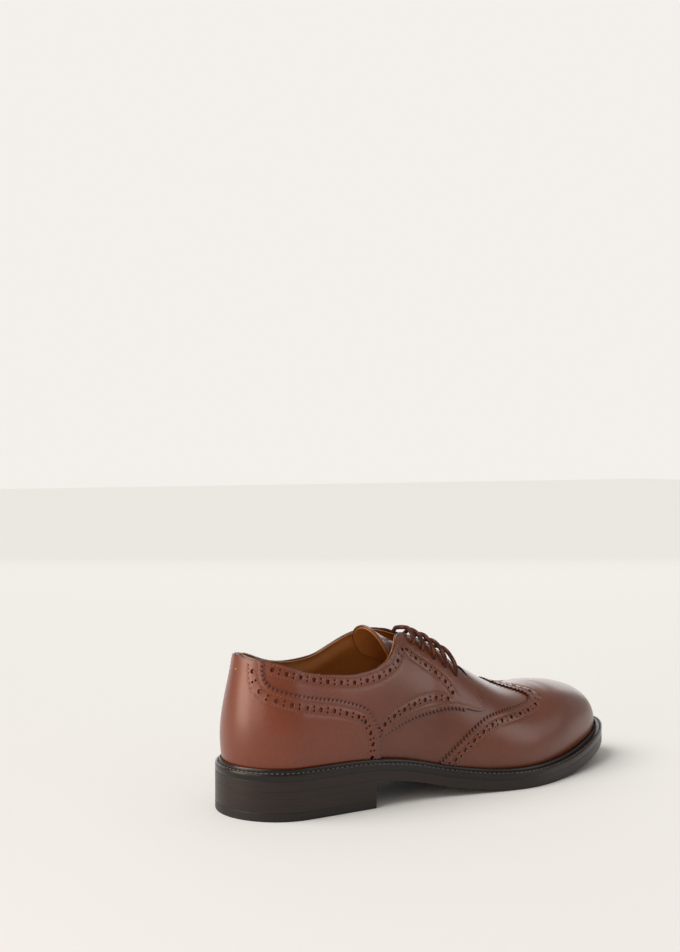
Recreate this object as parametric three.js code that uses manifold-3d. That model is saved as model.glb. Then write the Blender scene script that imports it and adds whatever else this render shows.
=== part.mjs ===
// A Goodyear-welted leather derby shoe for the right foot, in millimetres.
// +X points to the toe, -Y is the outer (lateral) side, +Z is up. The shoe stands on z = 0.
import * as THREE from 'three';
import { mergeVertices } from 'three/addons/utils/BufferGeometryUtils.js';
import Module from 'manifold-3d';

const wasm = await Module();
wasm.setup();

// ---- Driving dimensions -------------------------------------------------------------------
const soleLength = 300;
const ballWidth = 99; // across the joint of the sole
const heelWidth = 76; // across the heel seat of the sole
const heelHeight = 17.7; // ground to the underside of the sole, at the back
const heelBlockLength = 86.5; // back of the heel to its front face, the breast
const topPieceThickness = 5.2; // the rubber layer that meets the ground
const liftCount = 3;
const outsoleThickness = 6.2;
const weltThickness = 4.1;
const insoleThickness = 3;
const sockThickness = 1;
const toeSpring = 14; // lift of the sole's tip
const backHeight = 68; // top of the back strap above the welt
const instepHeight = 80; // crest of the instep above the welt
const toeBoxHeight = 46.5; // crest of the toe above the welt
const weltMargin = 5.5; // width of welt that shows at the heel
const beadHeight = 2.6; // raised inner bead of the storm welt
const beadWidth = 1.7;
const upperThickness = 1.2; // grain leather of the upper
const liningThickness = 1;
const stiffenerThickness = 2; // heel stiffener and toe puff
const gap = 0.35; // clearance between flat layers
const skinGap = 0.65; // clearance between curved layers
const laceDiameter = 2.8;
const laceClearance = 0.7; // hole radius over lace radius
const eyeletWall = 1.5;
const eyeletThickness = 0.8;
const nailDiameter = 2;
const nailLength = 21;
const shankWidth = 12;
const shankThickness = 1.2;

// ---- Curves of the last -------------------------------------------------------------------
const LATERAL = -1;
const MEDIAL = 1;

/** A smooth curve through values that are given at rising stations. */
const through = (stations, values) => (at) => {
  const end = stations.length - 1;
  const x = THREE.MathUtils.clamp(at, stations[0], stations[end]);
  let i = 0;
  while (i < end - 1 && x >= stations[i + 1]) i += 1;
  const slope = (k) => {
    const a = Math.max(k - 1, 0);
    const b = Math.min(k + 1, end);
    return (values[b] - values[a]) / (stations[b] - stations[a]);
  };
  const h = stations[i + 1] - stations[i];
  const t = (x - stations[i]) / h;
  return (1 + 2 * t) * (1 - t) ** 2 * values[i] + t * (1 - t) ** 2 * h * slope(i)
    + t * t * (3 - 2 * t) * values[i + 1] + t * t * (t - 1) * h * slope(i + 1);
};

// Half width of the sole along its length: heel seat, waist, ball and toe.
const heelShare = [0.958, 1, 0.974, 0.921];
const foreShare = [0.838, 1, 0.99, 0.95, 0.93];
const halfWidth = through(
  [0, 0.13, 0.27, 0.4, 0.53, 0.66, 0.78, 0.9, 1].map((k) => k * soleLength),
  [...heelShare.map((k) => (k * heelWidth) / 2), ...foreShare.map((k) => (k * ballWidth) / 2)],
);
// The middle of the sole swings outwards at the waist and inwards at the toe.
const middle = through(
  [0, 0.27, 0.42, 0.6, 0.78, 1].map((k) => k * soleLength),
  [0, -2, -4.5, -3.2, 2.5, 8],
);
// Underside of the sole: heel pitch, waist, tread and toe spring.
const soleUnder = through(
  [0, 0.14, 0.27, 0.37, 0.47, 0.57, 0.67, 0.76, 0.84, 0.92, 1].map((k) => k * soleLength),
  [
    ...[1, 0.977, 0.944, 0.734, 0.339, 0.068, 0].map((k) => k * heelHeight),
    ...[0.043, 0.236, 0.557, 1].map((k) => k * toeSpring),
  ],
);
const heelRound = 0.128 * soleLength; // length of the round back end
const toeRound = 0.63 * soleLength; // where the toe starts to close
const toeFullness = 2.14; // exponent of the toe curve
const soleHalf = (x) => {
  const back = 1 - (1 - Math.min(x / heelRound, 1)) ** 2;
  const front = 1 - Math.max(0, (x - toeRound) / (soleLength - toeRound)) ** toeFullness;
  return halfWidth(x) * Math.sqrt(Math.max(back, 0) * Math.max(front, 0));
};

// Sections fan round the heel, stand across the shoe, then fan round the toe.
// A section's place is s: 0 at the back of the heel, 1 at the tip of the toe.
const heelFan = 0.2;
const toeFan = 0.8;
const heelSpine = 40 / 300 * soleLength;
const toeSpine = 232 / 300 * soleLength;
const spineX = (s) => {
  const along = THREE.MathUtils.clamp((s - heelFan) / (toeFan - heelFan), 0, 1);
  return heelSpine + (toeSpine - heelSpine) * along;
};
const fanAngle = (s) => {
  const heel = Math.min(s / heelFan, 1);
  const toe = Math.max((s - toeFan) / (1 - toeFan), 0);
  return ((heel + toe) * Math.PI) / 2;
};
const place = (x) => heelFan + ((x - heelSpine) / (toeSpine - heelSpine)) * (toeFan - heelFan);

/** Distance from the spine to the sole's edge, along the section at s. */
const reach = (s, side) => {
  const x0 = spineX(s);
  const y0 = middle(x0);
  const dx = -Math.cos(fanAngle(s));
  const dy = side * Math.sin(fanAngle(s));
  let inside = 0;
  let outside = soleLength / 2;
  for (let k = 0; k < 40; k += 1) {
    const r = (inside + outside) / 2;
    const x = x0 + dx * r;
    const on = x > 0 && x < soleLength && Math.abs(y0 + dy * r - middle(x)) < soleHalf(x);
    if (on) inside = r;
    else outside = r;
  }
  return inside;
};

// Section shape at each station: a curve from the welt to the crest with two handles.
const stations = [0, 0.1, 0.2, 0.3, 0.4, 0.5, 0.6, 0.7, 0.8, 0.9, 1];
const weltTop = outsoleThickness + gap + weltThickness;
const marginMore = {
  [LATERAL]: through(stations, [0, 0, 0, 0, 0.5, 1, 1.5, 1.5, 1.5, 1.5, 1.5]),
  [MEDIAL]: through(stations, [0, 0, 0, 0.5, 1.5, 2.5, 2.5, 1.5, 1.5, 1.5, 1.5]),
};
const margin = (s, side) => weltMargin + marginMore[side](s);
const openHalf = through(stations, [29, 27, 25, 24, 17, 0, 0, 0, 0, 0, 0]);
const crestRise = through(stations, [
  ...[1, 0.956, 0.926, 0.978].map((k) => k * backHeight),
  ...[0.993, 1, 0.818, 0.636].map((k) => k * instepHeight),
  ...[1, 1, 1].map((k) => k * toeBoxHeight),
]);
const bulge = {
  [LATERAL]: through(stations, [4, 5, 5, 3, 2, 2, 4, 5, 6, 5, 4]),
  [MEDIAL]: through(stations, [4, 5, 4, 1, 0.5, 1, 4, 5, 6, 5, 4]),
};
const wallHandle = through(stations, [25, 25, 25, 28, 28, 28, 22, 19, 20, 20, 20]);
const topHandle = through(stations, [3, 3, 5, 7, 10, 20, 27, 30, 32, 34, 36]);
const topDrop = through(stations, [-22, -22, -24, -26, -20, -1, 0, 0, 0, 0, 0]);

/** Handles of the section at s. A closed section arches right over the instep. */
const section = (s, side, closed) => {
  const r0 = reach(s, side) - margin(s, side);
  const xFoot = spineX(s) - Math.cos(fanAngle(s)) * r0;
  const foot = soleUnder(xFoot) + weltTop + gap;
  const crest = soleUnder(spineX(s)) + weltTop + crestRise(s);
  const open = closed ? 0 : Math.max(openHalf(s), 0);
  const arch = closed ? Math.max(topHandle(s), 20) : topHandle(s);
  return [
    [r0, foot],
    [r0 + bulge[side](s), foot + wallHandle(s)],
    [open + arch, crest + (closed ? 0 : topDrop(s))],
    [open, crest],
  ];
};

/** A point of the shoe's outer skin: s along, t up from the welt, depth outwards. */
const onLast = (s, t, side, depth, closed = false) => {
  const at = (sAt, tAt) => {
    const p = section(sAt, side, closed);
    const u = 1 - tAt;
    const mix = (i) => u ** 3 * p[0][i] + 3 * tAt * u * u * p[1][i]
      + 3 * tAt * tAt * u * p[2][i] + tAt ** 3 * p[3][i];
    const a = fanAngle(sAt);
    const x0 = spineX(sAt);
    return new THREE.Vector3(x0 - Math.cos(a) * mix(0), middle(x0) + side * Math.sin(a) * mix(0), mix(1));
  };
  const step = 0.002;
  const point = at(s, t);
  const a = fanAngle(s);
  const round = new THREE.Vector3(Math.sin(a), side * Math.cos(a), 0);
  const onCrest = t > 1 - step && section(s, side, closed)[3][0] < step;
  const along = at(Math.min(s + step, onCrest ? toeFan : 1), t).sub(at(Math.max(s - step, 0), t));
  const pole = s < step || s > 1 - step || (onCrest && s >= toeFan);
  const up = at(s, Math.min(t + step, 1)).sub(at(s, Math.max(t - step, 0)));
  if (onCrest) up.set(Math.cos(a), -side * Math.sin(a), 0);
  const normal = (pole ? round : along).clone().cross(up).multiplyScalar(-side).normalize();
  return point.addScaledVector(normal, depth);
};

// ---- Making solids ------------------------------------------------------------------------
/** Merges vertices, drops flat triangles, and points the faces outwards. */
const closedBody = (geometry) => {
  geometry.deleteAttribute('normal');
  geometry.deleteAttribute('uv');
  const merged = mergeVertices(geometry, 1e-3);
  const p = merged.getAttribute('position');
  const index = Array.from(merged.getIndex().array);
  const faces = [];
  for (let i = 0; i < index.length; i += 3) {
    const [a, b, c] = index.slice(i, i + 3);
    if (a !== b && b !== c && c !== a) faces.push([a, b, c]);
  }
  const corner = (k) => new THREE.Vector3().fromBufferAttribute(p, k);
  let volume = 0;
  for (const [a, b, c] of faces) volume += corner(a).dot(corner(b).cross(corner(c)));
  const kept = faces.flatMap(([a, b, c]) => (volume < 0 ? [a, c, b] : [a, b, c]));
  const body = new THREE.BufferGeometry();
  body.setAttribute('position', new THREE.BufferAttribute(new Float32Array(p.array), 3));
  body.setIndex(kept);
  return body;
};

// Sides of a block that fold shut, when their two halves meet: they get no wall.
const FRONT = 0; // u = 1
const BACK = 1; // u = 0
const TOP = 2; // v = 1

/** A block of cols by rows cells, bent to shape: at(u, v, w) gives each corner's place. */
const bentBlock = (cols, rows, at, folded = []) => {
  const geometry = new THREE.BoxGeometry(1, 1, 1, cols, rows, 1);
  const walls = geometry.groups.filter((group, number) => !folded.includes(number));
  geometry.setIndex(walls.flatMap(({ start, count }) => (
    Array.from(geometry.getIndex().array.slice(start, start + count)))));
  const p = geometry.getAttribute('position');
  const share = (value, cells) => Math.round((value + 0.5) * cells) / cells;
  for (let i = 0; i < p.count; i += 1) {
    const spot = at(share(p.getX(i), cols), share(p.getY(i), rows), share(p.getZ(i), 1));
    p.setXYZ(i, spot.x, spot.y, spot.z);
  }
  return closedBody(geometry);
};

const solidOf = (geometry) => {
  const body = geometry.getIndex() ? geometry : closedBody(geometry);
  return new wasm.Manifold(new wasm.Mesh({
    numProp: 3,
    vertProperties: new Float32Array(body.getAttribute('position').array),
    triVerts: new Uint32Array(body.getIndex().array),
  }));
};

/** The geometry with each tool's shape cut out of it. */
const cut = (geometry, tools) => {
  let solid = solidOf(geometry);
  for (const tool of tools) solid = solid.subtract(solidOf(closedBody(tool)));
  const mesh = solid.getMesh();
  const result = new THREE.BufferGeometry();
  result.setAttribute('position', new THREE.BufferAttribute(new Float32Array(mesh.vertProperties), 3));
  result.setIndex(Array.from(mesh.triVerts));
  return result;
};

const mix = THREE.MathUtils.lerp;

// A sole that is slender for its width bends more sharply, so its layers take more facets.
const plumpness = 3.031; // length over width that one set of facets still follows
const facets = Math.ceil(soleLength / ballWidth / plumpness);

/** A panel on one side, from lower edge low(s) to upper edge high(s). */
const sidePanel = (cols, rows, side, from, to, low, high, inner, outer) => bentBlock(
  cols, rows, (u, v, w) => {
    const s = mix(from, to, u);
    const t = mix(Math.max(low(s), 0), high(s), v);
    return onLast(s, t, side, mix(inner(s), outer(s), w));
  },
);

/** A panel over the crest, from rear edge back(t) to front edge front(t), on both sides. */
const saddlePanel = (cols, rows, back, front, foot, inner, outer, closed = false) => bentBlock(
  cols, rows * facets, (u, v, w) => {
    const side = v < 0.5 ? LATERAL : MEDIAL;
    const t = mix(foot, 1, 1 - Math.abs(2 * v - 1));
    const s = mix(back(t), front(t), u);
    return onLast(s, t, side, mix(inner(s), outer(s), w), closed);
  },
);

/** A panel round the toe, from the welt to height top, with its rear edge at back(t).
 *  Its columns stand closer at the tip. */
const toePanel = (cols, rows, back, top, inner, outer) => bentBlock(
  cols * facets, rows, (u, v, w) => {
    const side = u < 0.5 ? LATERAL : MEDIAL;
    const t = v * top;
    const s = mix(back(t), 1, 1 - Math.abs(2 * u - 1) ** 1.4);
    return onLast(s, t, side, mix(inner(s), outer(s), w));
  },
  top === 1 ? [TOP] : [],
);

/** A panel round the heel, out to section end on both sides, from low up to high(s). */
const heelPanel = (cols, rows, end, low, high, inner, outer) => bentBlock(
  cols, rows, (u, v, w) => {
    const side = u < 0.5 ? LATERAL : MEDIAL;
    const s = Math.abs(2 * u - 1) * end;
    return onLast(s, mix(low, high(s), v), side, mix(inner(s), outer(s), w));
  },
);

/** A point on the sole: r from the spine at section s, z above the sole's underside. */
const onSole = (s, side, r, z) => {
  const x0 = spineX(s);
  const a = fanAngle(s);
  const x = x0 - Math.cos(a) * r;
  return new THREE.Vector3(x, middle(x0) + side * Math.sin(a) * r, soleUnder(x) + z);
};

/** A layer of the sole up to section end, inset from the edge, from height low to high. */
const soleLayer = (cols, rows, end, inset, low, high) => bentBlock(
  cols, rows, (u, v, w) => {
    const side = v < 0.5 ? LATERAL : MEDIAL;
    const s = u * end;
    const r = Math.abs(2 * v - 1) * (reach(s, side) - inset(s, side));
    return onSole(s, side, r, mix(low, high, w));
  },
  end === 1 ? [BACK, FRONT] : [BACK],
);

/** A strip round the whole sole. Its corners hold [inset(s, side) from the edge, height]. */
const soleRing = (count, corners) => {
  const steps = count * facets;
  const tags = corners.map((corner, k) => new THREE.Vector2(soleLength + k, k));
  const geometry = new THREE.LatheGeometry([...tags, tags[0]], steps);
  const p = geometry.getAttribute('position');
  for (let i = 0; i < p.count; i += 1) {
    const turn = (Math.round((Math.atan2(p.getX(i), p.getZ(i)) / Math.PI / 2) * steps) / steps) * 2;
    const side = turn > 0 ? LATERAL : MEDIAL;
    const s = Math.abs(turn);
    const [inset, height] = corners[Math.round(p.getY(i))];
    const spot = onSole(s, side, reach(s, side) - inset(s, side), height);
    p.setXYZ(i, spot.x, spot.y, spot.z);
  }
  return closedBody(geometry);
};

// ---- Edges of the upper's pattern ---------------------------------------------------------
// Top edge of the quarters: collar, facing corner, facing edge, and the tab at the vamp.
const quarterTop = through(
  [0, 0.1, 0.142, 0.2, 0.262, 0.328, 0.366, 0.402, 0.425, 0.438, 0.45, 0.47, 0.5, 0.54, 0.57,
    0.596, 0.606, 0.612],
  [0.995, 0.995, 0.99, 0.933, 0.867, 0.78, 0.743, 0.77, 0.88, 0.95, 0.96, 0.93, 0.9, 0.86, 0.79,
    0.7, 0.59, 0.51],
);
const quarterFoot = through(
  [0, 0.3, 0.33, 0.355, 0.372, 0.408, 0.464, 0.54, 0.566, 0.606, 0.612],
  [0, 0, 0.02, 0.12, 0.187, 0.26, 0.327, 0.407, 0.433, 0.465, 0.485],
);
const counterTop = through(
  [0, 0.07, 0.083, 0.1, 0.126, 0.172, 0.234, 0.28, 0.33, 0.35, 0.36],
  [0.995, 0.99, 0.95, 0.79, 0.733, 0.707, 0.643, 0.573, 0.433, 0.293, 0.03],
);
// The wing: a point at the crest, a valley on each side, and tails along the welt.
const wingBack = through(
  [0, 0.167, 0.313, 0.42, 0.513, 0.6, 0.64, 0.7, 0.78, 0.87, 1],
  [0.495, 0.54, 0.58, 0.614, 0.658, 0.708, 0.737, 0.757, 0.752, 0.73, 0.674],
);
const wingLap = 0.045; // vamp leather under the wing
const vampBack = through(
  [0, 0.1, 0.2, 0.3, 0.36, 0.42, 0.48, 0.54, 0.62, 0.8, 1],
  [0.325, 0.335, 0.35, 0.38, 0.42, 0.48, 0.54, 0.575, 0.592, 0.602, 0.604],
);
const liningFoot = through([0, 0.44, 0.5, 0.56, 0.6], [0, 0, 0.12, 0.4, 0.5]);
const vampLiningBack = through([0, 0.12, 0.4, 0.5, 0.7, 1], [0.466, 0.512, 0.571, 0.611, 0.62, 0.626]);
const seam = 0.005; // half the gap at the back seam
const quarterFront = 0.612;
const stiffenerEnd = 0.3;
const puffBack = 0.82;

// ---- Depths of the layers -----------------------------------------------------------------
const constant = (value) => () => value;
const outerFace = constant(0);
const upperInner = constant(-upperThickness);
const vampSink = 1.3 * skinGap; // a saddle's facets need more room than a skin
const vampOuter = constant(-upperThickness - vampSink);
const vampInner = constant(-2 * upperThickness - vampSink);
const stiffOuter = constant(-upperThickness - skinGap);
const stiffInner = constant(-upperThickness - skinGap - stiffenerThickness);
const shallow = -2 * upperThickness - 2 * skinGap;
const deep = -upperThickness - 2 * skinGap - stiffenerThickness;
const liningOuter = through([0, 0.2, 0.31, 0.38, 0.45, 0.65, 0.72, 0.79, 0.9, 1],
  [deep, deep, deep, shallow, shallow, shallow, shallow, deep, deep, deep]);
const liningInner = (s) => liningOuter(s) - liningThickness;
// The tongue leaves room for the lace under the facings and rises to the vamp at its root.
const tongueTip = 0.395;
const tongueRoot = 0.608;
const underLace = shallow - liningThickness - laceDiameter - 2 * skinGap;
const tongueOuter = through([tongueTip, 0.45, 0.565, 0.597, tongueRoot],
  [underLace, underLace, underLace, shallow, shallow]);
const tongueInner = (s) => tongueOuter(s) - upperThickness;
const padOuter = (s) => tongueInner(s) - skinGap;
const padInner = (s) => padOuter(s) - liningThickness;

// ---- Eyelets and lace ---------------------------------------------------------------------
const eyeletRows = [[0.47, 0.82], [0.492, 0.76], [0.514, 0.715], [0.536, 0.685], [0.558, 0.665]];
const holeRadius = laceDiameter / 2 + laceClearance;

/** A solid standing on the skin at (s, t), turned so that its Y axis points outwards. */
const standOn = (geometry, s, t, side, depth) => {
  const base = onLast(s, t, side, depth);
  const out = onLast(s, t, side, depth + 1).sub(base);
  const turn = new THREE.Quaternion().setFromUnitVectors(new THREE.Vector3(0, 1, 0), out.normalize());
  return geometry.applyQuaternion(turn).translate(base.x, base.y, base.z);
};

const punches = (side, radius) => eyeletRows.map(([s, t]) => (
  standOn(new THREE.CylinderGeometry(radius, radius, 14, 10), s, t, side, 0)
));

const eyelet = (s, t, side) => {
  const wall = [
    [holeRadius, 0], [holeRadius + eyeletWall, 0],
    [holeRadius + eyeletWall, eyeletThickness], [holeRadius, eyeletThickness], [holeRadius, 0],
  ].map(([r, z]) => new THREE.Vector2(r, z));
  const depth = -upperThickness - skinGap - eyeletThickness;
  return closedBody(standOn(new THREE.LatheGeometry(wall, 10), s, t, side, depth));
};

/** The lace's line: a bar across each row, and a short run under one facing between rows. */
const laceLine = () => {
  const over = laceDiameter / 2 + skinGap;
  const under = shallow - liningThickness - over;
  const points = [];
  let side = LATERAL;
  const first = eyeletRows.length - 1;
  const drop = (row, at, way) => {
    const [s, t] = eyeletRows[row];
    const depths = way > 0 ? [under + 1.5, -2.2, 0.2] : [0.2, -2.2, under + 1.5];
    for (const depth of depths) points.push(onLast(s, t, at, depth));
  };
  points.push(onLast(eyeletRows[first][0] - 0.012, eyeletRows[first][1] - 0.05, side, under));
  for (let row = first; row >= 0; row -= 1) {
    const [s, t] = eyeletRows[row];
    drop(row, side, 1);
    for (const k of [0.16, 0.4, 0.7, 1]) points.push(onLast(s, mix(t, 1, k), side, over + 0.3));
    side = -side;
    for (const k of [0.7, 0.4, 0.16]) points.push(onLast(s, mix(t, 1, k), side, over + 0.3));
    drop(row, side, -1);
    if (row > 0) {
      const [sNext, tNext] = eyeletRows[row - 1];
      for (const k of [0.3, 0.7]) points.push(onLast(mix(s, sNext, k), mix(t, tNext, k), side, under));
    } else {
      points.push(onLast(s - 0.012, t - 0.03, side, under));
      points.push(onLast(s - 0.03, t - 0.09, side, under));
    }
  }
  return new THREE.CatmullRomCurve3(points, false, 'centripetal');
};

const lace = () => {
  const ring = new THREE.Shape();
  ring.absarc(0, 0, laceDiameter / 2, 0, Math.PI * 2);
  return closedBody(new THREE.ExtrudeGeometry(ring, {
    extrudePath: laceLine(), steps: 104, curveSegments: 3, bevelEnabled: false,
  }));
};

// ---- Sole and heel ------------------------------------------------------------------------
const noInset = () => 0;
const skinInset = (extra) => (s, side) => margin(s, side) - liningInner(s) + extra;
const breast = place(heelBlockLength);
const nailSpots = [[0.05, 0], [0.13, LATERAL], [0.13, MEDIAL], [0.24, LATERAL], [0.24, MEDIAL]];
const nailInset = 22;
const nailTop = heelHeight + weltTop + insoleThickness / 2;

/** Nails driven down through the heel seat, or the clearance holes for them. */
const nails = (extra) => nailSpots.map(([s, side]) => {
  const spot = onSole(s, side || LATERAL, reach(s, side || LATERAL) - nailInset, 0);
  const shaft = new THREE.CylinderGeometry(
    nailDiameter / 2 + extra, nailDiameter / 2 + extra, nailLength + extra, 8);
  return shaft.rotateX(Math.PI / 2).translate(spot.x, spot.y, nailTop - nailLength / 2);
});
const nailed = (geometry) => cut(geometry, nails(gap));

/** One lift of the heel stack, between two shares of the stack's height. */
const heelLift = (number) => {
  const share = (k) => topPieceThickness / heelHeight + k * (1 - topPieceThickness / heelHeight);
  const low = share(number / liftCount);
  const high = share((number + 1) / liftCount);
  return nailed(bentBlock(14, 2, (u, v, w) => {
    const side = v < 0.5 ? LATERAL : MEDIAL;
    const s = u * breast;
    const spot = onSole(s, side, Math.abs(2 * v - 1) * reach(s, side), 0);
    const top = spot.z;
    spot.z = w < 0.5 ? low * top : high * top - gap;
    return spot;
  }, [BACK]));
};

const topPiece = () => bentBlock(14, 2, (u, v, w) => {
  const side = v < 0.5 ? LATERAL : MEDIAL;
  const s = u * breast;
  const spot = onSole(s, side, Math.abs(2 * v - 1) * reach(s, side), 0);
  spot.z = w < 0.5 ? 0 : (spot.z * topPieceThickness) / heelHeight - gap;
  return spot;
}, [BACK]);

const shankFrom = 70 / 300 * soleLength;
const shankTo = 178 / 300 * soleLength;
const shankBlock = (extra, top) => bentBlock(10, 1, (u, v, w) => {
  const x = mix(shankFrom - extra, shankTo + extra, u);
  const y = middle(x) + mix(-1, 1, v) * (shankWidth / 2 + extra);
  const low = weltTop - shankThickness - gap - extra;
  return new THREE.Vector3(x, y, soleUnder(x) + mix(low, top, w));
});

const ribInset = 9.5; // the rib stands this far inside the upper's foot
const ribThickness = 1.5;
const fillerLow = outsoleThickness + gap;
const fromFoot = (inside) => (s, side) => margin(s, side) + inside;
const filler = () => cut(
  nailed(soleLayer(24, 8, 1, fromFoot(ribInset + ribThickness + skinGap), fillerLow, weltTop)),
  [shankBlock(gap, weltTop + 1)],
);

const beadInside = -(upperThickness + skinGap + 1.15); // clear of the counter's bulge
const welt = () => soleRing(48, [
  [noInset, fillerLow],
  [noInset, weltTop],
  [fromFoot(beadInside - beadWidth - 0.4), weltTop],
  [fromFoot(beadInside - beadWidth), weltTop + beadHeight],
  [fromFoot(beadInside - 0.3), weltTop + beadHeight],
  [fromFoot(beadInside), weltTop],
  [fromFoot(ribInset - skinGap), weltTop],
  [fromFoot(ribInset - skinGap), fillerLow],
]);

const rib = () => soleRing(48, [
  [fromFoot(ribInset), fillerLow + gap],
  [fromFoot(ribInset), weltTop],
  [fromFoot(ribInset + ribThickness), weltTop],
  [fromFoot(ribInset + ribThickness), fillerLow + gap],
]);

const insoleLow = weltTop + gap;
const sockLow = insoleLow + insoleThickness + gap;

// ---- Materials ----------------------------------------------------------------------------
const finish = (color, roughness, metalness = 0) => (
  new THREE.MeshStandardMaterial({ color, roughness, metalness })
);
const upperLeather = () => finish('#6b3020', 0.38);
const liningLeather = () => finish('#8a4f22', 0.6);
const soleLeather = () => finish('#352a28', 0.45);
const rawLeather = () => finish('#b98a5a', 0.75);
const fibreboard = () => finish('#a08060', 0.85);
const corkFill = () => finish('#9c6b3f', 0.95);
const rubber = () => finish('#2a2524', 0.7);
const lacing = () => finish('#3e1f18', 0.8);
const steel = () => finish('#8d8f92', 0.4, 1);
const brass = () => finish('#9a7a3c', 0.4, 1);

// ---- Assembly -----------------------------------------------------------------------------
const shoe = new THREE.Group();
const add = (name, geometry, material) => {
  const mesh = new THREE.Mesh(geometry, material);
  mesh.name = name;
  shoe.add(mesh);
};

add('toe_cap', toePanel(28, 9, wingBack, 1, upperInner, outerFace), upperLeather());
add('vamp', saddlePanel(13, 20, vampBack, (t) => wingBack(t) + wingLap, 0, vampInner, vampOuter),
  upperLeather());
add('vamp_lining', toePanel(26, 8, vampLiningBack, 1, liningInner, liningOuter), liningLeather());
add('toe_puff', toePanel(20, 7, constant(puffBack), 0.86, stiffInner, stiffOuter), fibreboard());
const counterInner = constant(skinGap);
const counterOuter = constant(skinGap + upperThickness);
const counterFoot = 0.015; // it stands a little off the welt
add('heel_counter', heelPanel(28, 8, 0.36, counterFoot, counterTop, counterInner, counterOuter),
  upperLeather());
add('heel_stiffener', heelPanel(20, 6, stiffenerEnd, 0, constant(0.7), stiffInner, stiffOuter),
  fibreboard());
for (const [name, side] of [['lateral', LATERAL], ['medial', MEDIAL]]) {
  const panel = sidePanel(24, 7, side, seam, quarterFront, quarterFoot, quarterTop, upperInner,
    outerFace);
  add(`quarter_${name}`, cut(panel, punches(side, holeRadius)), upperLeather());
  const inside = sidePanel(19, 8, side, seam, 0.592, liningFoot, (s) => quarterTop(s) - 0.012,
    liningInner, liningOuter);
  add(`quarter_lining_${name}`, cut(inside, punches(side, holeRadius + gap)), liningLeather());
  eyeletRows.forEach(([s, t], row) => {
    add(`eyelet_${name}_${row + 1}`, eyelet(s, t, side), brass());
  });
}
add('tongue', saddlePanel(9, 8, constant(tongueTip), constant(tongueRoot), 0.6, tongueInner,
  tongueOuter, true), upperLeather());
add('tongue_lining', saddlePanel(9, 8, constant(tongueTip), constant(tongueRoot), 0.6, padInner,
  padOuter, true), liningLeather());
add('lace', lace(), lacing());

add('sock_lining', soleLayer(20, 6, 1, skinInset(2.6), sockLow, sockLow + sockThickness),
  liningLeather());
add('insole', nailed(soleLayer(22 * facets, 6, 1, skinInset(2), insoleLow, insoleLow + insoleThickness)),
  rawLeather());
add('insole_rib', rib(), fibreboard());
add('cork_filler', filler(), corkFill());
add('shank', shankBlock(0, weltTop - gap), steel());
add('welt', welt(), soleLeather());
add('outsole', nailed(soleLayer(26, 8, 1, noInset, 0, outsoleThickness)), soleLeather());
for (let number = liftCount - 1; number >= 0; number -= 1) {
  add(`heel_lift_${liftCount - number}`, heelLift(number), soleLeather());
}
add('top_piece', topPiece(), rubber());
nails(0).forEach((nail, number) => add(`heel_nail_${number + 1}`, closedBody(nail), steel()));

// The origin is below the middle of the sole's length and width.
const edges = Array.from({ length: 301 }, (_, k) => (k / 300) * soleLength);
const least = Math.min(...edges.map((x) => middle(x) - soleHalf(x)));
const most = Math.max(...edges.map((x) => middle(x) + soleHalf(x)));
const tip = spineX(1) + reach(1, LATERAL);
shoe.position.set(-tip / 2, -(least + most) / 2, 0);

export default shoe;
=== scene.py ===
"""A full-brogue leather derby shoe for the right foot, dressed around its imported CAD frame.

The uppers are cut as flat pattern pieces, with their punched holes and pinked edges, and then
wrapped over the shape of the last. The sole, welt and heel are layers swept round the sole's edge.
All working lengths are millimetres until a mesh is made, and the shoe stands on z = 0.
"""

import math

import bpy
import numpy as np
from mathutils import Matrix, Vector
from mathutils.geometry import delaunay_2d_cdt
from mathutils.kdtree import KDTree


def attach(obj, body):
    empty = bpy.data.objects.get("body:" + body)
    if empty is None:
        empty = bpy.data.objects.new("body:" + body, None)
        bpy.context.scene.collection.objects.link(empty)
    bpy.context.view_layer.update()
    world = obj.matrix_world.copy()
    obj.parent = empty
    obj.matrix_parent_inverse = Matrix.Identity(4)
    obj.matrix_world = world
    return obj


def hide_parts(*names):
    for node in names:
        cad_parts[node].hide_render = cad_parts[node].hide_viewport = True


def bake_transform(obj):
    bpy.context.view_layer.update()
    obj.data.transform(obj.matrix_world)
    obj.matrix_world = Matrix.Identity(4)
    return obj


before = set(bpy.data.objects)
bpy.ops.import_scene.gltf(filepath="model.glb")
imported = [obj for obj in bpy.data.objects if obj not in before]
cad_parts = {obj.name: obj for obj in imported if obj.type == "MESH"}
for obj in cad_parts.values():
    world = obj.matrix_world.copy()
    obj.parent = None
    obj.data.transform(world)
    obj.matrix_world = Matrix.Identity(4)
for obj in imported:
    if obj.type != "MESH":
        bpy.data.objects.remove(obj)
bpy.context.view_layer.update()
MM = 0.001
LATERAL = -1
MEDIAL = 1

# ---- Sizes of the shoe, in millimetres ---------------------------------------------------------
SOLE_LENGTH = 300.0
BALL_WIDTH = 99.0
HEEL_WIDTH = 76.0
HEEL_HEIGHT = 17.7
HEEL_BLOCK = 86.5
TOP_PIECE = 5.2
OUTSOLE = 6.2
WELT = 4.1
INSOLE = 3.0
SOCK = 1.0
TOE_SPRING = 14.0
BACK_HEIGHT = 68.0
INSTEP_HEIGHT = 80.0
TOE_BOX = 46.5
WELT_MARGIN = 5.5
GAP = 0.35
SKIN_GAP = 0.65
UPPER = 1.2
LINING = 1.0
STIFFENER = 2.0
LACE = 2.8
WELT_TOP = OUTSOLE + GAP + WELT

# The brogueing: punches, stitches and pinked teeth.
BIG_PUNCH = 1.2
SMALL_PUNCH = 0.55
PUNCH_PITCH = 9.0
PAIR_SPREAD = 1.2
TOOTH_PITCH = 2.7
TOOTH_DEPTH = 2.1
STITCH_PITCH = 2.0
STITCH_LENGTH = 1.5
THREAD = 0.25


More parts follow.
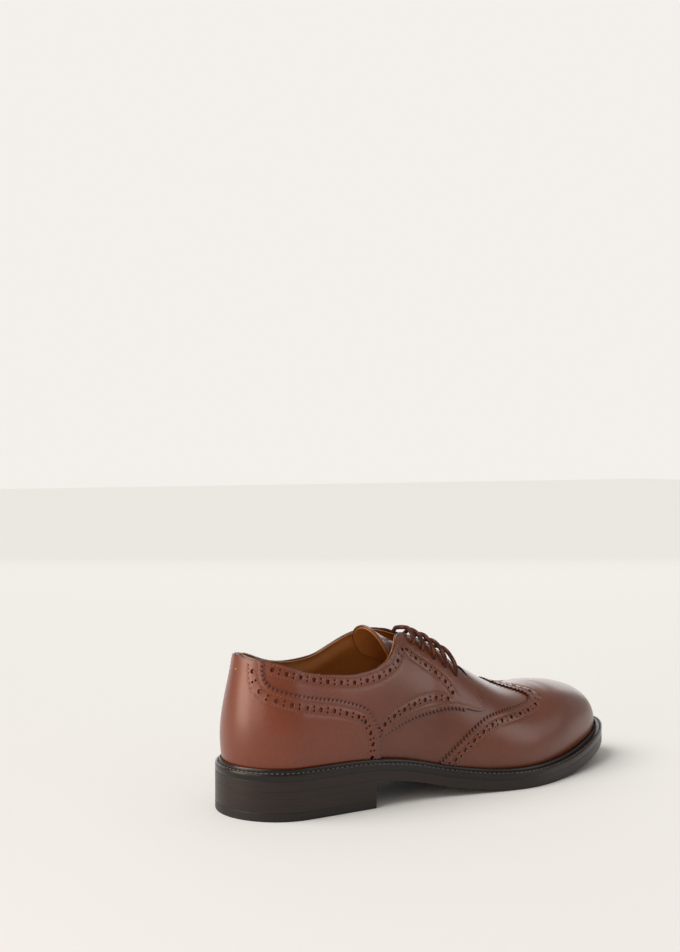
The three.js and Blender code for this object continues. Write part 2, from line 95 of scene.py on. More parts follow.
# ---- The last ----------------------------------------------------------------------------------
def through(stations, values):
    """A smooth curve through values given at rising stations."""
    xs = np.array(stations, float)
    ys = np.array(values, float)
    slope = np.empty_like(ys)
    slope[1:-1] = (ys[2:] - ys[:-2]) / (xs[2:] - xs[:-2])
    slope[0] = (ys[1] - ys[0]) / (xs[1] - xs[0])
    slope[-1] = (ys[-1] - ys[-2]) / (xs[-1] - xs[-2])

    def curve(at):
        x = np.clip(at, xs[0], xs[-1])
        i = np.clip(np.searchsorted(xs, x, side="right") - 1, 0, len(xs) - 2)
        h = xs[i + 1] - xs[i]
        t = (x - xs[i]) / h
        rise = (1 + 2 * t) * (1 - t) ** 2 * ys[i] + t * (1 - t) ** 2 * h * slope[i]
        return rise + t * t * (3 - 2 * t) * ys[i + 1] + t * t * (t - 1) * h * slope[i + 1]

    return curve


half_width = through(
    np.array([0, 0.13, 0.27, 0.4, 0.53, 0.66, 0.78, 0.9, 1]) * SOLE_LENGTH,
    [k * HEEL_WIDTH / 2 for k in (0.958, 1, 0.974, 0.921)]
    + [k * BALL_WIDTH / 2 for k in (0.838, 1, 0.99, 0.95, 0.93)],
)
middle = through(np.array([0, 0.27, 0.42, 0.6, 0.78, 1]) * SOLE_LENGTH, [0, -2, -4.5, -3.2, 2.5, 8])
sole_under = through(
    np.array([0, 0.14, 0.27, 0.37, 0.47, 0.57, 0.67, 0.76, 0.84, 0.92, 1]) * SOLE_LENGTH,
    [k * HEEL_HEIGHT for k in (1, 0.977, 0.944, 0.734, 0.339, 0.068, 0)]
    + [k * TOE_SPRING for k in (0.043, 0.236, 0.557, 1)],
)
HEEL_ROUND = 0.128 * SOLE_LENGTH
TOE_ROUND = 0.63 * SOLE_LENGTH
TOE_FULLNESS = 2.14
HEEL_FAN = 0.2
TOE_FAN = 0.8
HEEL_SPINE = 40.0
TOE_SPINE = 232.0


def sole_half(x):
    back = 1 - (1 - np.minimum(x / HEEL_ROUND, 1)) ** 2
    front = 1 - np.maximum(0, (x - TOE_ROUND) / (SOLE_LENGTH - TOE_ROUND)) ** TOE_FULLNESS
    return half_width(x) * np.sqrt(np.maximum(back, 0) * np.maximum(front, 0))


def spine_x(s):
    return HEEL_SPINE + (TOE_SPINE - HEEL_SPINE) * np.clip((s - HEEL_FAN) / (TOE_FAN - HEEL_FAN), 0, 1)


def fan_angle(s):
    heel = np.minimum(s / HEEL_FAN, 1)
    toe = np.maximum((s - TOE_FAN) / (1 - TOE_FAN), 0)
    return (heel + toe) * math.pi / 2


def place(x):
    return HEEL_FAN + (x - HEEL_SPINE) / (TOE_SPINE - HEEL_SPINE) * (TOE_FAN - HEEL_FAN)


S_TABLE = np.linspace(0, 1, 1201)


def reach_table(side):
    """Distance from the spine to the sole's edge, along the section at each s."""
    x0 = spine_x(S_TABLE)
    y0 = middle(x0)
    dx = -np.cos(fan_angle(S_TABLE))
    dy = side * np.sin(fan_angle(S_TABLE))
    inside = np.zeros_like(S_TABLE)
    outside = np.full_like(S_TABLE, SOLE_LENGTH / 2)
    for _ in range(40):
        r = (inside + outside) / 2
        x = x0 + dx * r
        on = (x > 0) & (x < SOLE_LENGTH) & (np.abs(y0 + dy * r - middle(x)) < sole_half(x))
        inside = np.where(on, r, inside)
        outside = np.where(on, outside, r)
    return inside


REACH = {side: reach_table(side) for side in (LATERAL, MEDIAL)}


def by_side(side, lateral, medial):
    return np.where(np.asarray(side) < 0, lateral, medial)


def reach(s, side):
    return by_side(side, np.interp(s, S_TABLE, REACH[LATERAL]), np.interp(s, S_TABLE, REACH[MEDIAL]))


STATIONS = np.linspace(0, 1, 11)
more_lateral = through(STATIONS, [0, 0, 0, 0, 0.5, 1, 1.5, 1.5, 1.5, 1.5, 1.5])
more_medial = through(STATIONS, [0, 0, 0, 0.5, 1.5, 2.5, 2.5, 1.5, 1.5, 1.5, 1.5])
open_half = through(STATIONS, [29, 27, 25, 24, 17, 0, 0, 0, 0, 0, 0])
crest_rise = through(
    STATIONS,
    [k * BACK_HEIGHT for k in (1, 0.956, 0.926, 0.978)]
    + [k * INSTEP_HEIGHT for k in (0.993, 1, 0.818, 0.636)]
    + [TOE_BOX] * 3,
)
bulge_lateral = through(STATIONS, [4, 5, 5, 3, 2, 2, 4, 5, 6, 5, 4])
bulge_medial = through(STATIONS, [4, 5, 4, 1, 0.5, 1, 4, 5, 6, 5, 4])
wall_handle = through(STATIONS, [25, 25, 25, 28, 28, 28, 22, 19, 20, 20, 20])
top_handle = through(STATIONS, [3, 3, 5, 7, 10, 20, 27, 30, 32, 34, 36])
top_drop = through(STATIONS, [-22, -22, -24, -26, -20, -1, 0, 0, 0, 0, 0])


def margin(s, side):
    """Width of welt that shows outside the upper."""
    return WELT_MARGIN + by_side(side, more_lateral(s), more_medial(s))


def opening(s, closed):
    return np.zeros_like(s) if closed else np.maximum(open_half(s), 0)


def section_point(s, t, side, closed):
    """Distance from the spine and height, at height share t of the section at s."""
    r0 = reach(s, side) - margin(s, side)
    foot = sole_under(spine_x(s) - np.cos(fan_angle(s)) * r0) + WELT_TOP + GAP
    crest = sole_under(spine_x(s)) + WELT_TOP + crest_rise(s)
    gape = opening(s, closed)
    arch = np.maximum(top_handle(s), 20) if closed else top_handle(s)
    drop = 0 if closed else top_drop(s)
    bulge = by_side(side, bulge_lateral(s), bulge_medial(s))
    across = (r0, r0 + bulge, gape + arch, gape)
    height = (foot, foot + wall_handle(s), crest + drop, crest)
    u = 1 - t
    share = (u ** 3, 3 * t * u * u, 3 * t * t * u, t ** 3)
    r = sum(k * v for k, v in zip(share, across))
    z = sum(k * v for k, v in zip(share, height))
    return r, z


def bare(s, t, side, closed):
    r, z = section_point(s, t, side, closed)
    x0 = spine_x(s)
    a = fan_angle(s)
    return np.stack([x0 - np.cos(a) * r, middle(x0) + side * np.sin(a) * r, z], axis=-1)


def unit(v):
    return v / np.maximum(np.linalg.norm(v, axis=-1, keepdims=True), 1e-9)


def run_along(points):
    """Distance from the first point along a chain of points."""
    return np.concatenate([[0], np.cumsum(np.linalg.norm(np.diff(points, axis=0), axis=1))])


def skin(s, t, side, depth=0.0, closed=False):
    """Points of the shoe's outer skin, moved outwards by depth, and the outward direction."""
    s, t, side, depth = np.broadcast_arrays(*(np.asarray(v, float) for v in (s, t, side, depth)))
    step = 0.002
    a = fan_angle(s)
    on_crest = (t > 1 - step) & (opening(s, closed) < step)
    ahead = np.minimum(s + step, np.where(on_crest, np.maximum(TOE_FAN, s), 1))
    along = bare(ahead, t, side, closed) - bare(np.maximum(s - step, 0), t, side, closed)
    pole = (s < step) | (s > 1 - step) | (on_crest & (s >= TOE_FAN))
    sweep = np.stack([np.sin(a), side * np.cos(a), 0 * a], axis=-1)
    along = np.where(pole[..., None], sweep, along)
    up = bare(s, np.minimum(t + step, 1), side, closed) - bare(s, t - step, side, closed)
    inward = np.stack([np.cos(a), -side * np.sin(a), 0 * a], axis=-1)
    up = np.where(on_crest[..., None], inward, up)
    out = unit(np.cross(along, up) * -side[..., None])
    return bare(s, t, side, closed) + out * depth[..., None], out


# ---- The flat pattern --------------------------------------------------------------------------
# The skin unrolled: each section lies out flat from the spine, by its length from the crest.
T_TABLE = np.linspace(-0.05, 1, 106)


def pattern_table(side):
    s, t = np.meshgrid(S_TABLE, T_TABLE, indexing="ij")
    r, z = section_point(s, t, np.full_like(s, side), False)
    run = np.hypot(np.diff(r, axis=1), np.diff(z, axis=1))
    from_top = np.concatenate([np.cumsum(run[:, ::-1], axis=1)[:, ::-1], np.zeros((len(s), 1))], axis=1)
    return from_top + opening(S_TABLE, False)[:, None]


FROM_CREST = {side: pattern_table(side) for side in (LATERAL, MEDIAL)}


def table_rows(s, side):
    at = np.clip(s, 0, 1) * (len(S_TABLE) - 1)
    i = np.minimum(at.astype(int), len(S_TABLE) - 2)
    f = (at - i)[:, None]
    rows = {k: FROM_CREST[k][i] * (1 - f) + FROM_CREST[k][i + 1] * f for k in (LATERAL, MEDIAL)}
    return np.where((side < 0)[:, None], rows[LATERAL], rows[MEDIAL])


def flat(s, t, side):
    """Pattern coordinates of points on the last."""
    s, t, side = (np.atleast_1d(v).astype(float) for v in np.broadcast_arrays(s, t, side))
    rows = table_rows(s, side)
    at = (np.clip(t, T_TABLE[0], 1) - T_TABLE[0]) / (T_TABLE[1] - T_TABLE[0])
    i = np.minimum(at.astype(int), len(T_TABLE) - 2)
    pick = np.arange(len(s))
    run = rows[pick, i] * (1 - at + i) + rows[pick, i + 1] * (at - i)
    a = fan_angle(s)
    return np.stack([spine_x(s) - np.cos(a) * run, side * np.sin(a) * run], axis=-1)


def unflat(points):
    """Places s, t and side on the last, of points on the pattern."""
    x, y = points[:, 0], points[:, 1]
    side = np.where(y < 0, LATERAL, MEDIAL).astype(float)
    heel = np.arctan2(np.abs(y), HEEL_SPINE - x)
    toe = math.pi - np.arctan2(np.abs(y), x - TOE_SPINE)
    s = place(x)
    s = np.where(x < HEEL_SPINE, HEEL_FAN * heel / (math.pi / 2), s)
    s = np.where(x > TOE_SPINE, TOE_FAN + (1 - TOE_FAN) * (toe / (math.pi / 2) - 1), s)
    run = np.where(x < HEEL_SPINE, np.hypot(x - HEEL_SPINE, y), np.abs(y))
    run = np.where(x > TOE_SPINE, np.hypot(x - TOE_SPINE, y), run)
    rows = table_rows(s, side)
    i = np.clip((rows > run[:, None]).sum(axis=1), 1, len(T_TABLE) - 1)
    pick = np.arange(len(x))
    high, low = rows[pick, i - 1], rows[pick, i]
    f = np.clip((high - run) / np.maximum(high - low, 1e-9), 0, 1)
    return s, T_TABLE[i - 1] + f * (T_TABLE[1] - T_TABLE[0]), side


def wrap(points, depth=0.0):
    s, t, side = unflat(points)
    return skin(s, t, side, depth)


def stretch(points):
    """How the pattern stretches at each point: the metric's three numbers."""
    e = 0.4
    ex, ey = np.array([e, 0]), np.array([0, e])
    gx = (wrap(points + ex)[0] - wrap(points - ex)[0]) / (2 * e)
    gy = (wrap(points + ey)[0] - wrap(points - ey)[0]) / (2 * e)
    return (gx * gx).sum(1), (gx * gy).sum(1), (gy * gy).sum(1)


class Line:
    """A smooth line on the pattern, measured along the skin."""

    def __init__(self, knots, straight=False):
        knots = np.array(knots, float)
        chord = np.concatenate([[0], np.cumsum(np.hypot(*np.diff(knots, axis=0).T))])
        steps = np.linspace(0, chord[-1], max(int(chord[-1] / 0.5), 2) + 1)
        if straight:
            self.points = np.stack([np.interp(steps, chord, knots[:, k]) for k in (0, 1)], axis=-1)
        else:
            self.points = np.stack([through(chord, knots[:, k])(steps) for k in (0, 1)], axis=-1)
        body, _ = wrap(self.points)
        self.run = run_along(body)

    @property
    def length(self):
        return self.run[-1]

    def at(self, distance, offset=0.0):
        """Pattern points at distances along the line, offset to its left across the skin."""
        distance = np.atleast_1d(np.asarray(distance, float))
        here = self._on(distance)
        _, left = self.axes(distance)
        return here + left * np.broadcast_to(offset, distance.shape)[:, None]

    def _on(self, distance):
        return np.stack([np.interp(distance, self.run, self.points[:, k]) for k in (0, 1)], axis=-1)

    def axes(self, distance):
        """Pattern vectors one millimetre long on the skin, along the line and to its left."""
        e = 0.8
        along = self._on(np.minimum(distance + e, self.length)) - self._on(np.maximum(distance - e, 0))
        gxx, gxy, gyy = stretch(self._on(distance))
        wx = gxx * along[:, 0] + gxy * along[:, 1]
        wy = gxy * along[:, 0] + gyy * along[:, 1]

        def sized(v):
            size = np.sqrt(gxx * v[:, 0] ** 2 + 2 * gxy * v[:, 0] * v[:, 1] + gyy * v[:, 1] ** 2)
            return v / np.maximum(size, 1e-9)[:, None]

        return sized(along), sized(np.stack([-wy, wx], axis=-1))

    def plain(self, pitch=1.2):
        count = max(int(self.length / pitch), 2)
        return self._on(np.linspace(0, self.length, count + 1))

    def pinked(self):
        """The line cut in teeth that point to its right, away from the piece."""
        count = max(int(self.length / TOOTH_PITCH), 2)
        at = np.linspace(0, self.length, 2 * count + 1)
        teeth = np.where(np.arange(2 * count + 1) % 2 == 1, -TOOTH_DEPTH, 0.0)
        return self.at(at, teeth)


def inside(points, loop):
    """Which points lie inside a closed loop."""
    ax, ay = loop[:, 0], loop[:, 1]
    bx, by = np.roll(ax, -1), np.roll(ay, -1)
    result = np.zeros(len(points), bool)
    for start in range(0, len(points), 2000):
        px = points[start:start + 2000, 0, None]
        py = points[start:start + 2000, 1, None]
        crosses = (ay > py) != (by > py)
        with np.errstate(divide="ignore", invalid="ignore"):
            x = ax + (py - ay) / (by - ay) * (bx - ax)
        result[start:start + 2000] = ((crosses & (px < x)).sum(axis=1) % 2) == 1
    return result


# ---- Making objects ----------------------------------------------------------------------------
# The model stands with the middle of its length and width over the origin.
TIP = TOE_SPINE + REACH[LATERAL][-1]
OUTLINE_X = np.linspace(0, SOLE_LENGTH, 301)
LEAST = (middle(OUTLINE_X) - sole_half(OUTLINE_X)).min()
MOST = (middle(OUTLINE_X) + sole_half(OUTLINE_X)).max()
ORIGIN = np.array([TIP / 2, (LEAST + MOST) / 2, 0])


def new_object(name, vertices, faces):
    mesh = bpy.data.meshes.new(name)
    mesh.from_pydata(((np.asarray(vertices) - ORIGIN) * MM).tolist(), [], [tuple(f) for f in faces])
    mesh.validate()
    obj = bpy.data.objects.new(name, mesh)
    bpy.context.collection.objects.link(obj)
    return obj


def choose(obj):
    bpy.ops.object.select_all(action="DESELECT")
    obj.select_set(True)
    bpy.context.view_layer.objects.active = obj


def apply_modifier(obj, kind, **settings):
    modifier = obj.modifiers.new(kind.lower(), kind)
    for key, value in settings.items():
        setattr(modifier, key, value)
    choose(obj)
    bpy.ops.object.modifier_apply(modifier=modifier.name)


def tidy_mesh(obj, angle=35, merge=1e-6):
    """Merges doubles, points the faces outwards and shades the piece smooth."""
    choose(obj)
    bpy.ops.object.mode_set(mode="EDIT")
    bpy.ops.mesh.select_all(action="SELECT")
    bpy.ops.mesh.remove_doubles(threshold=merge)
    bpy.ops.mesh.normals_make_consistent(inside=False)
    bpy.ops.object.mode_set(mode="OBJECT")
    smooth(obj, angle)


def smooth(obj, angle=35):
    choose(obj)
    bpy.ops.object.shade_smooth_by_angle(angle=math.radians(angle))


def grid_faces(columns, rows, close_columns=False, close_rows=False):
    faces = []
    for i in range(columns if close_columns else columns - 1):
        for j in range(rows if close_rows else rows - 1):
            i2, j2 = (i + 1) % columns, (j + 1) % rows
            faces.append((i * rows + j, i2 * rows + j, i2 * rows + j2, i * rows + j2))
    return faces


def in_frame(point):
    return tuple((np.array(point, float) - ORIGIN) * MM)


def settle(obj, body, slot, *nodes):
    """Attaches a piece to its body, or bakes its place in for the body named bends, and hides the CAD
    nodes that it stands for. The slot is not used.
    """
    if body == "bends":
        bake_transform(obj)
    else:
        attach(obj, body)
    if nodes:
        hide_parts(*nodes)


# ---- Materials ---------------------------------------------------------------------------------
def linear(code):
    """An sRGB hex colour as linear RGBA."""
    parts = [int(code[k:k + 2], 16) / 255 for k in (1, 3, 5)]
    return (*[c / 12.92 if c <= 0.04045 else ((c + 0.055) / 1.055) ** 2.4 for c in parts], 1.0)


def add_node(tree, kind, inputs=(), **settings):
    """Adds a node. inputs maps a socket's name or number to a value or to another node's socket."""
    node = tree.nodes.new(kind)
    for key, value in settings.items():
        setattr(node, key, value)
    for key, value in dict(inputs).items():
        if isinstance(value, bpy.types.NodeSocket):
            tree.links.new(value, node.inputs[key])
        else:
            node.inputs[key].default_value = value
    return node


def new_material(name, **shader):
    material = bpy.data.materials.new(name)
    material.use_nodes = True
    tree = material.node_tree
    principled = tree.nodes["Principled BSDF"]
    for key, value in shader.items():
        principled.inputs[key.replace("_", " ")].default_value = value
    return material, tree, principled


def relief(tree, shader, height, strength, distance):
    bump = add_node(tree, "ShaderNodeBump",
                    {"Height": height, "Strength": strength, "Distance": distance})
    tree.links.new(bump.outputs["Normal"], shader.inputs["Normal"])


def gloss_between(tree, shader, factor, low, high):
    gloss = add_node(tree, "ShaderNodeMapRange", {"Value": factor, "To Min": low, "To Max": high})
    tree.links.new(gloss.outputs["Result"], shader.inputs["Roughness"])


def ramp_between(tree, factor, low, high, start=0.3, end=0.7):
    ramp = add_node(tree, "ShaderNodeValToRGB", {"Fac": factor})
    for stop, position, colour in zip(ramp.color_ramp.elements, (start, end), (low, high)):
        stop.position = position
        stop.color = linear(colour)
    return ramp.outputs["Color"]


def dye(tree, shader, *ramp):
    tree.links.new(ramp_between(tree, *ramp), shader.inputs["Base Color"])


def tint(tree, factor, under, colour):
    """Lays a colour over what is under it."""
    mix = add_node(tree, "ShaderNodeMix", {0: factor, 6: under, 7: linear(colour)}, data_type="RGBA")
    return mix.outputs[2]


def fade(tree, value, start, end, most, **settings):
    """0 where value is start, and most where it is end."""
    share = add_node(tree, "ShaderNodeMapRange",
                     {"Value": value, "From Min": start, "From Max": end, "To Max": most}, **settings)
    return share.outputs["Result"]


def maths(tree, operation, a, b):
    return add_node(tree, "ShaderNodeMath", {0: a, 1: b}, operation=operation).outputs[0]


def object_place(tree):
    return add_node(tree, "ShaderNodeTexCoord").outputs["Object"]


def per_metre(millimetres):
    """Texture scale for a pattern whose cells are this many millimetres across."""
    return 1000.0 / millimetres


def noise(tree, spot, size, detail, **more):
    """Cloudy noise whose clouds are about this many millimetres across."""
    inputs = {"Vector": spot, "Scale": per_metre(size), "Detail": detail, **more}
    return add_node(tree, "ShaderNodeTexNoise", inputs).outputs["Fac"]


def grain_bump(tree, spot, cell, depth, strength):
    """The pebbles of a hide: rounded cells with fine creases between them, and pores."""
    cells = add_node(tree, "ShaderNodeTexVoronoi", {"Vector": spot, "Scale": per_metre(cell)},
                     feature="SMOOTH_F1")
    height = maths(tree, "ADD", cells.outputs["Distance"], noise(tree, spot, cell * 0.6, 3.0))
    return add_node(tree, "ShaderNodeBump",
                    {"Height": height, "Strength": strength, "Distance": depth * MM})


def plain_hide(name, low, high, roughness, cell, depth):
    """Undyed or painted leather without wax: even colour with faint clouds and an open grain."""
    material, tree, shader = new_material(name, Roughness=roughness, IOR=1.45)
    spot = object_place(tree)
    dye(tree, shader, noise(tree, spot, 16, 6.0, Roughness=0.65), low, high)
    tree.links.new(grain_bump(tree, spot, cell, depth, 0.4).outputs["Normal"], shader.inputs["Normal"])
    return material


def waxed_edge(name, low, high, roughness=0.36):
    """Sole leather edge, inked, waxed and burnished: layers show as faint level streaks."""
    material, tree, shader = new_material(
        name, IOR=1.45, Coat_Weight=0.12, Coat_Roughness=0.25, Specular_IOR_Level=0.4)
    level = add_node(tree, "ShaderNodeMapping",
                     {"Vector": object_place(tree), "Scale": (1.0, 1.0, 6.0)})
    streak = noise(tree, level.outputs[0], 22, 6.0, Roughness=0.7)
    dye(tree, shader, streak, low, high, 0.2, 0.85)
    gloss_between(tree, shader, streak, roughness - 0.06, roughness + 0.1)
    relief(tree, shader, streak, 0.2, 0.08 * MM)
    return material


def thread(name, low, high):
    """Waxed linen thread: twisted, so it shows fine slanted ridges and little gloss."""
    material, tree, shader = new_material(name, Roughness=0.6, IOR=1.5)
    fibre = noise(tree, object_place(tree), 0.5, 3.0)
    dye(tree, shader, fibre, low, high)
    relief(tree, shader, fibre, 0.4, 0.08 * MM)
    return material


def braid(name, low, high, turns):
    """Round waxed cotton lace: two sets of strands cross round it. It reads the lace's own UV map."""
    material, tree, shader = new_material(name, Roughness=0.6, IOR=1.4, Specular_IOR_Level=0.3)
    uv = add_node(tree, "ShaderNodeUVMap", uv_map="braid")
    heights = []
    for way in (1, -1):
        turned = add_node(tree, "ShaderNodeMapping",
                          {"Vector": uv.outputs[0], "Scale": (turns, 4.0 * way, 1.0)})
        parts = add_node(tree, "ShaderNodeSeparateXYZ", {0: turned.outputs[0]})
        total = maths(tree, "ADD", parts.outputs[0], parts.outputs[1])
        heights.append(maths(tree, "PINGPONG", total, 1.0))
    weave = maths(tree, "MULTIPLY", *heights)
    # Painted shade: the braid is painted darker where its strands dip between each other.
    dye(tree, shader, weave, low, high, 0.1, 0.6)
    relief(tree, shader, weave, 0.9, 0.3 * MM)
    return material


def metal(name, colour, roughness):
    """Drawn or rolled metal: fine scratches vary its gloss."""
    material, tree, shader = new_material(name, Metallic=1.0)
    scratch = noise(tree, object_place(tree), 0.8, 4.0)
    dye(tree, shader, scratch, colour, colour)
    gloss_between(tree, shader, scratch, roughness - 0.1, roughness + 0.1)
    return material


def granules(name, low, high, grain, roughness):
    """Pressed granules or fibres, such as cork or fibreboard."""
    material, tree, shader = new_material(name, Roughness=roughness)
    cells = add_node(tree, "ShaderNodeTexVoronoi",
                     {"Vector": object_place(tree), "Scale": per_metre(grain)}).outputs["Distance"]
    dye(tree, shader, cells, low, high, 0.1, 0.8)
    relief(tree, shader, cells, 0.5, 0.3 * MM)
    return material


def make_calf():
    """Chestnut box calf, aniline dyed and waxed: close grain, cloudy dye and a soft wax gloss. The back
    of the heel is painted redder and brighter as painted light, and the cut edges are darkened, partly
    their real edge dye and partly painted shade.
    """
    material, tree, shader = new_material(
        "waxed_chestnut_calf", IOR=1.46, Coat_Weight=0.4, Coat_Roughness=0.27, Coat_IOR=1.46)
    spot = object_place(tree)
    cloud = noise(tree, spot, 40, 5.0, Roughness=0.6)
    hide = ramp_between(tree, cloud, "#61290d", "#733613")
    # Painted light: the back of the heel is painted redder and brighter, standing in for warm light
    # thrown back onto it.
    axes = add_node(tree, "ShaderNodeSeparateXYZ", {"Vector": spot})
    heel_light_share = fade(tree, axes.outputs["X"], -0.02, -0.1, 0.55, interpolation_type="SMOOTHSTEP")
    heel_lit = tint(tree, heel_light_share, hide, "#86350f")
    specks = fade(tree, noise(tree, spot, 1.5, 4.0, Roughness=0.7), 0.4, 0.8, 0.3)
    specked = tint(tree, specks, heel_lit, "#3b1508")
    # Painted shade with edge dye: the cut edges and punches are darkened, partly by the real dark edge
    # dye and partly by painted shade, deepest in the notches between teeth.
    edge = add_node(tree, "ShaderNodeAttribute", attribute_name="edge_ink_and_shade")
    ink_and_shade = fade(tree, edge.outputs["Fac"], 0.5, 0.78, 0.85)
    tree.links.new(tint(tree, ink_and_shade, specked, "#2c1007"), shader.inputs["Base Color"])
    gloss_between(tree, shader, cloud, 0.3, 0.4)
    # The real grain is about 0.2 mm, too fine to show, so it is drawn at 0.55 mm.
    grain = grain_bump(tree, spot, 0.55, 0.05, 0.3)
    soft = add_node(tree, "ShaderNodeBump",
                    {"Height": noise(tree, spot, 9, 2.0), "Strength": 0.2, "Distance": 0.4 * MM,
                     "Normal": grain.outputs["Normal"]})
    tree.links.new(soft.outputs["Normal"], shader.inputs["Normal"])
    return material


CALF = make_calf()
EDGE_INK = plain_hide("inked_leather_edge", "#240e08", "#33150c", 0.55, 0.6, 0.05)
# The backing is painted lighter than the upper's leather, as painted light in the bottoms of the
# punches.
BACKING = plain_hide("backing_under_the_punches", "#6a2f1b", "#7c3d24", 0.7, 0.6, 0.05)
TAN_HIDE = plain_hide("tan_lining_calf", "#94551d", "#a56426", 0.5, 0.8, 0.06)
NATURAL_HIDE = plain_hide("natural_shoulder_leather", "#b08052", "#c29062", 0.7, 0.9, 0.08)
SOLE_EDGE = waxed_edge("waxed_sole_edge", "#1b0f0a", "#2a1911", 0.38)
WELT_HIDE = waxed_edge("dark_storm_welt", "#0e0705", "#180d09", 0.26)
HEEL_RUBBER = waxed_edge("moulded_heel_rubber", "#150e0c", "#1e1512", 0.5)
UPPER_THREAD = thread("waxed_chestnut_thread", "#7a4431", "#93604a")
WELT_THREAD = thread("waxed_dark_thread", "#57463d", "#84705f")
LACE_COTTON = braid("waxed_cotton_braid", "#3e180c", "#6f3821", 60.0)
BRASS = metal("rolled_brass", "#9a7a3c", 0.4)
STEEL = metal("drawn_steel", "#8d8f92", 0.4)
CORK = granules("ground_cork", "#6d4526", "#b07c4c", 1.6, 0.9)
FIBRE = granules("pressed_fibreboard", "#8a6a48", "#b0906a", 0.7, 0.85)


def wear(obj, *materials):
    obj.data.materials.clear()
    for material in materials:
        obj.data.materials.append(material)


# ---- Stitches ----------------------------------------------------------------------------------
def stitch_shape(length, radius, sides=6):
    """One stitch: a short round strand whose ends dip into the leather."""
    stations = [(-0.5, 0.35, -1.1), (-0.32, 0.95, 0.0), (0.0, 1.0, 0.25), (0.32, 0.95, 0.0),
                (0.5, 0.35, -1.1)]
    vertices = []
    for share, width, lift in stations:
        for k in range(sides):
            a = 2 * math.pi * k / sides
            vertices.append((share * length, math.cos(a) * radius * width,
                             math.sin(a) * radius * width + lift * radius))
    faces = [tuple((i * sides + k, i * sides + (k + 1) % sides, (i + 1) * sides + (k + 1) % sides,
                    (i + 1) * sides + k)[::-1]) for i in range(len(stations) - 1) for k in range(sides)]
    faces.append(tuple(range(sides)))
    faces.append(tuple(reversed([(len(stations) - 1) * sides + k for k in range(sides)])))
    return np.array(vertices), faces


def sew(name, places, along, out, material, length=STITCH_LENGTH, radius=THREAD):
    """A row of stitches at places, each lying along its seam and facing out of the skin."""
    shape, faces = stitch_shape(length, radius)
    along = unit(along)
    across = unit(np.cross(out, along))
    up = np.cross(along, across)
    vertices = (places[:, None, :] + shape[None, :, 0, None] * along[:, None, :]
                + shape[None, :, 1, None] * across[:, None, :]
                + shape[None, :, 2, None] * up[:, None, :])
    count = len(shape)
    all_faces = [tuple(v + k * count for v in face) for k in range(len(places)) for face in faces]
    obj = new_object(name, vertices.reshape(-1, 3), all_faces)
    for polygon in obj.data.polygons:
        polygon.use_smooth = True
    wear(obj, material)
    return obj


# ---- Pattern pieces ----------------------------------------------------------------------------
def punches_along(line, offset, first=4.0, last=4.0):
    """Centres and radii of brogue punches: one big, then a small pair across the band."""
    span = line.length - first - last
    count = max(int(round(span / PUNCH_PITCH)), 1)
    pitch = span / count
    big = first + pitch * np.arange(count + 1)
    small = first + pitch * (np.arange(count) + 0.5)
    marks = [(line, d, offset, BIG_PUNCH) for d in big]
    marks += [(line, d, offset + way * PAIR_SPREAD, SMALL_PUNCH) for d in small for way in (-1, 1)]
    return marks


def punch_rings(marks):
    """The cut loop and the rolled rim of each punch, on the pattern."""
    loops = []
    for line, distance, offset, radius in marks:
        centre = line.at(distance, offset)
        ahead, left = line.axes(np.array([distance]))
        count = 14 if radius > 0.8 else 8
        turn = 2 * math.pi * np.arange(count) / count
        spin = np.cos(turn)[:, None] * ahead + np.sin(turn)[:, None] * left
        loops.append((centre + spin * radius, centre + spin * (radius + 0.3)))
    return loops


GROOVE = 0.2  # depth of a stitched line
GROOVE_HALF = 0.6
GROOVE_STEP = 1.3
CUT_ROLL = 0.26  # how far a cut edge rolls under
TOOTH_TURN = 0.8  # a corner sharper than this is a tooth's tip
TIP_INK_AND_SHADE = 0.62  # a tooth's tip is darkened less than its notch, where the painted shade lies
# How dark a punch's cut edge is painted: edge dye and painted shade.
PUNCH_INK_AND_SHADE = 0.8
PUNCH_RIM = 0.1
LATTICE = 2.3
# The least room between points of a piece, for seams, teeth and (as a share of it) the lattice.
GUIDE_ROOM = 0.35
CORE_ROOM = 0.4
LATTICE_ROOM = 0.45
HOLE_REACH = 4  # no hole is wider than twice this
LEAST_AREA = 1e-7
STITCH_LIFT = 0.16  # height of a stitch over the bottom of its groove


def ink_and_shade_on(loop):
    """How dark each point of an outline is painted, for edge dye and painted shade in the notches, and
    the teeth's corners.
    """
    before = loop - np.roll(loop, 1, axis=0)
    after = np.roll(loop, -1, axis=0) - loop
    turn = np.arctan2(before[:, 0] * after[:, 1] - before[:, 1] * after[:, 0],
                      (before * after).sum(axis=1))
    tips = turn * np.sign(turn.sum()) > TOOTH_TURN
    return np.where(tips, TIP_INK_AND_SHADE, 1.0), tips


def near_tree(points):
    tree = KDTree(len(points))
    for i, (x, y) in enumerate(points):
        tree.insert((x, y, 0), i)
    tree.balance()
    return tree


def groove_guides(seams):
    """Points along each seam, and how deep each is sunk, so that the stitches lie in a groove."""
    points, lifts = [], []
    for line, offset in seams:
        at = np.arange(GROOVE_HALF, line.length, GROOVE_STEP)
        for shift, lift in ((-GROOVE_HALF, 0.0), (0.0, -GROOVE), (GROOVE_HALF, 0.0)):
            points.append(line.at(at, offset + shift))
            lifts.append(np.full(len(at), lift))
    return np.concatenate(points), np.concatenate(lifts)


def lattice_over(loop, pitch):
    """Points spread evenly over the box round an outline, every second row shifted by a half."""
    low, high = loop.min(0), loop.max(0)
    xs = np.arange(low[0], high[0], pitch)
    ys = np.arange(low[1], high[1], pitch * 0.866)
    gx, gy = np.meshgrid(xs, ys)
    gx = gx + (np.arange(len(ys)) % 2)[:, None] * pitch / 2
    return np.stack([gx.ravel(), gy.ravel()], axis=-1)


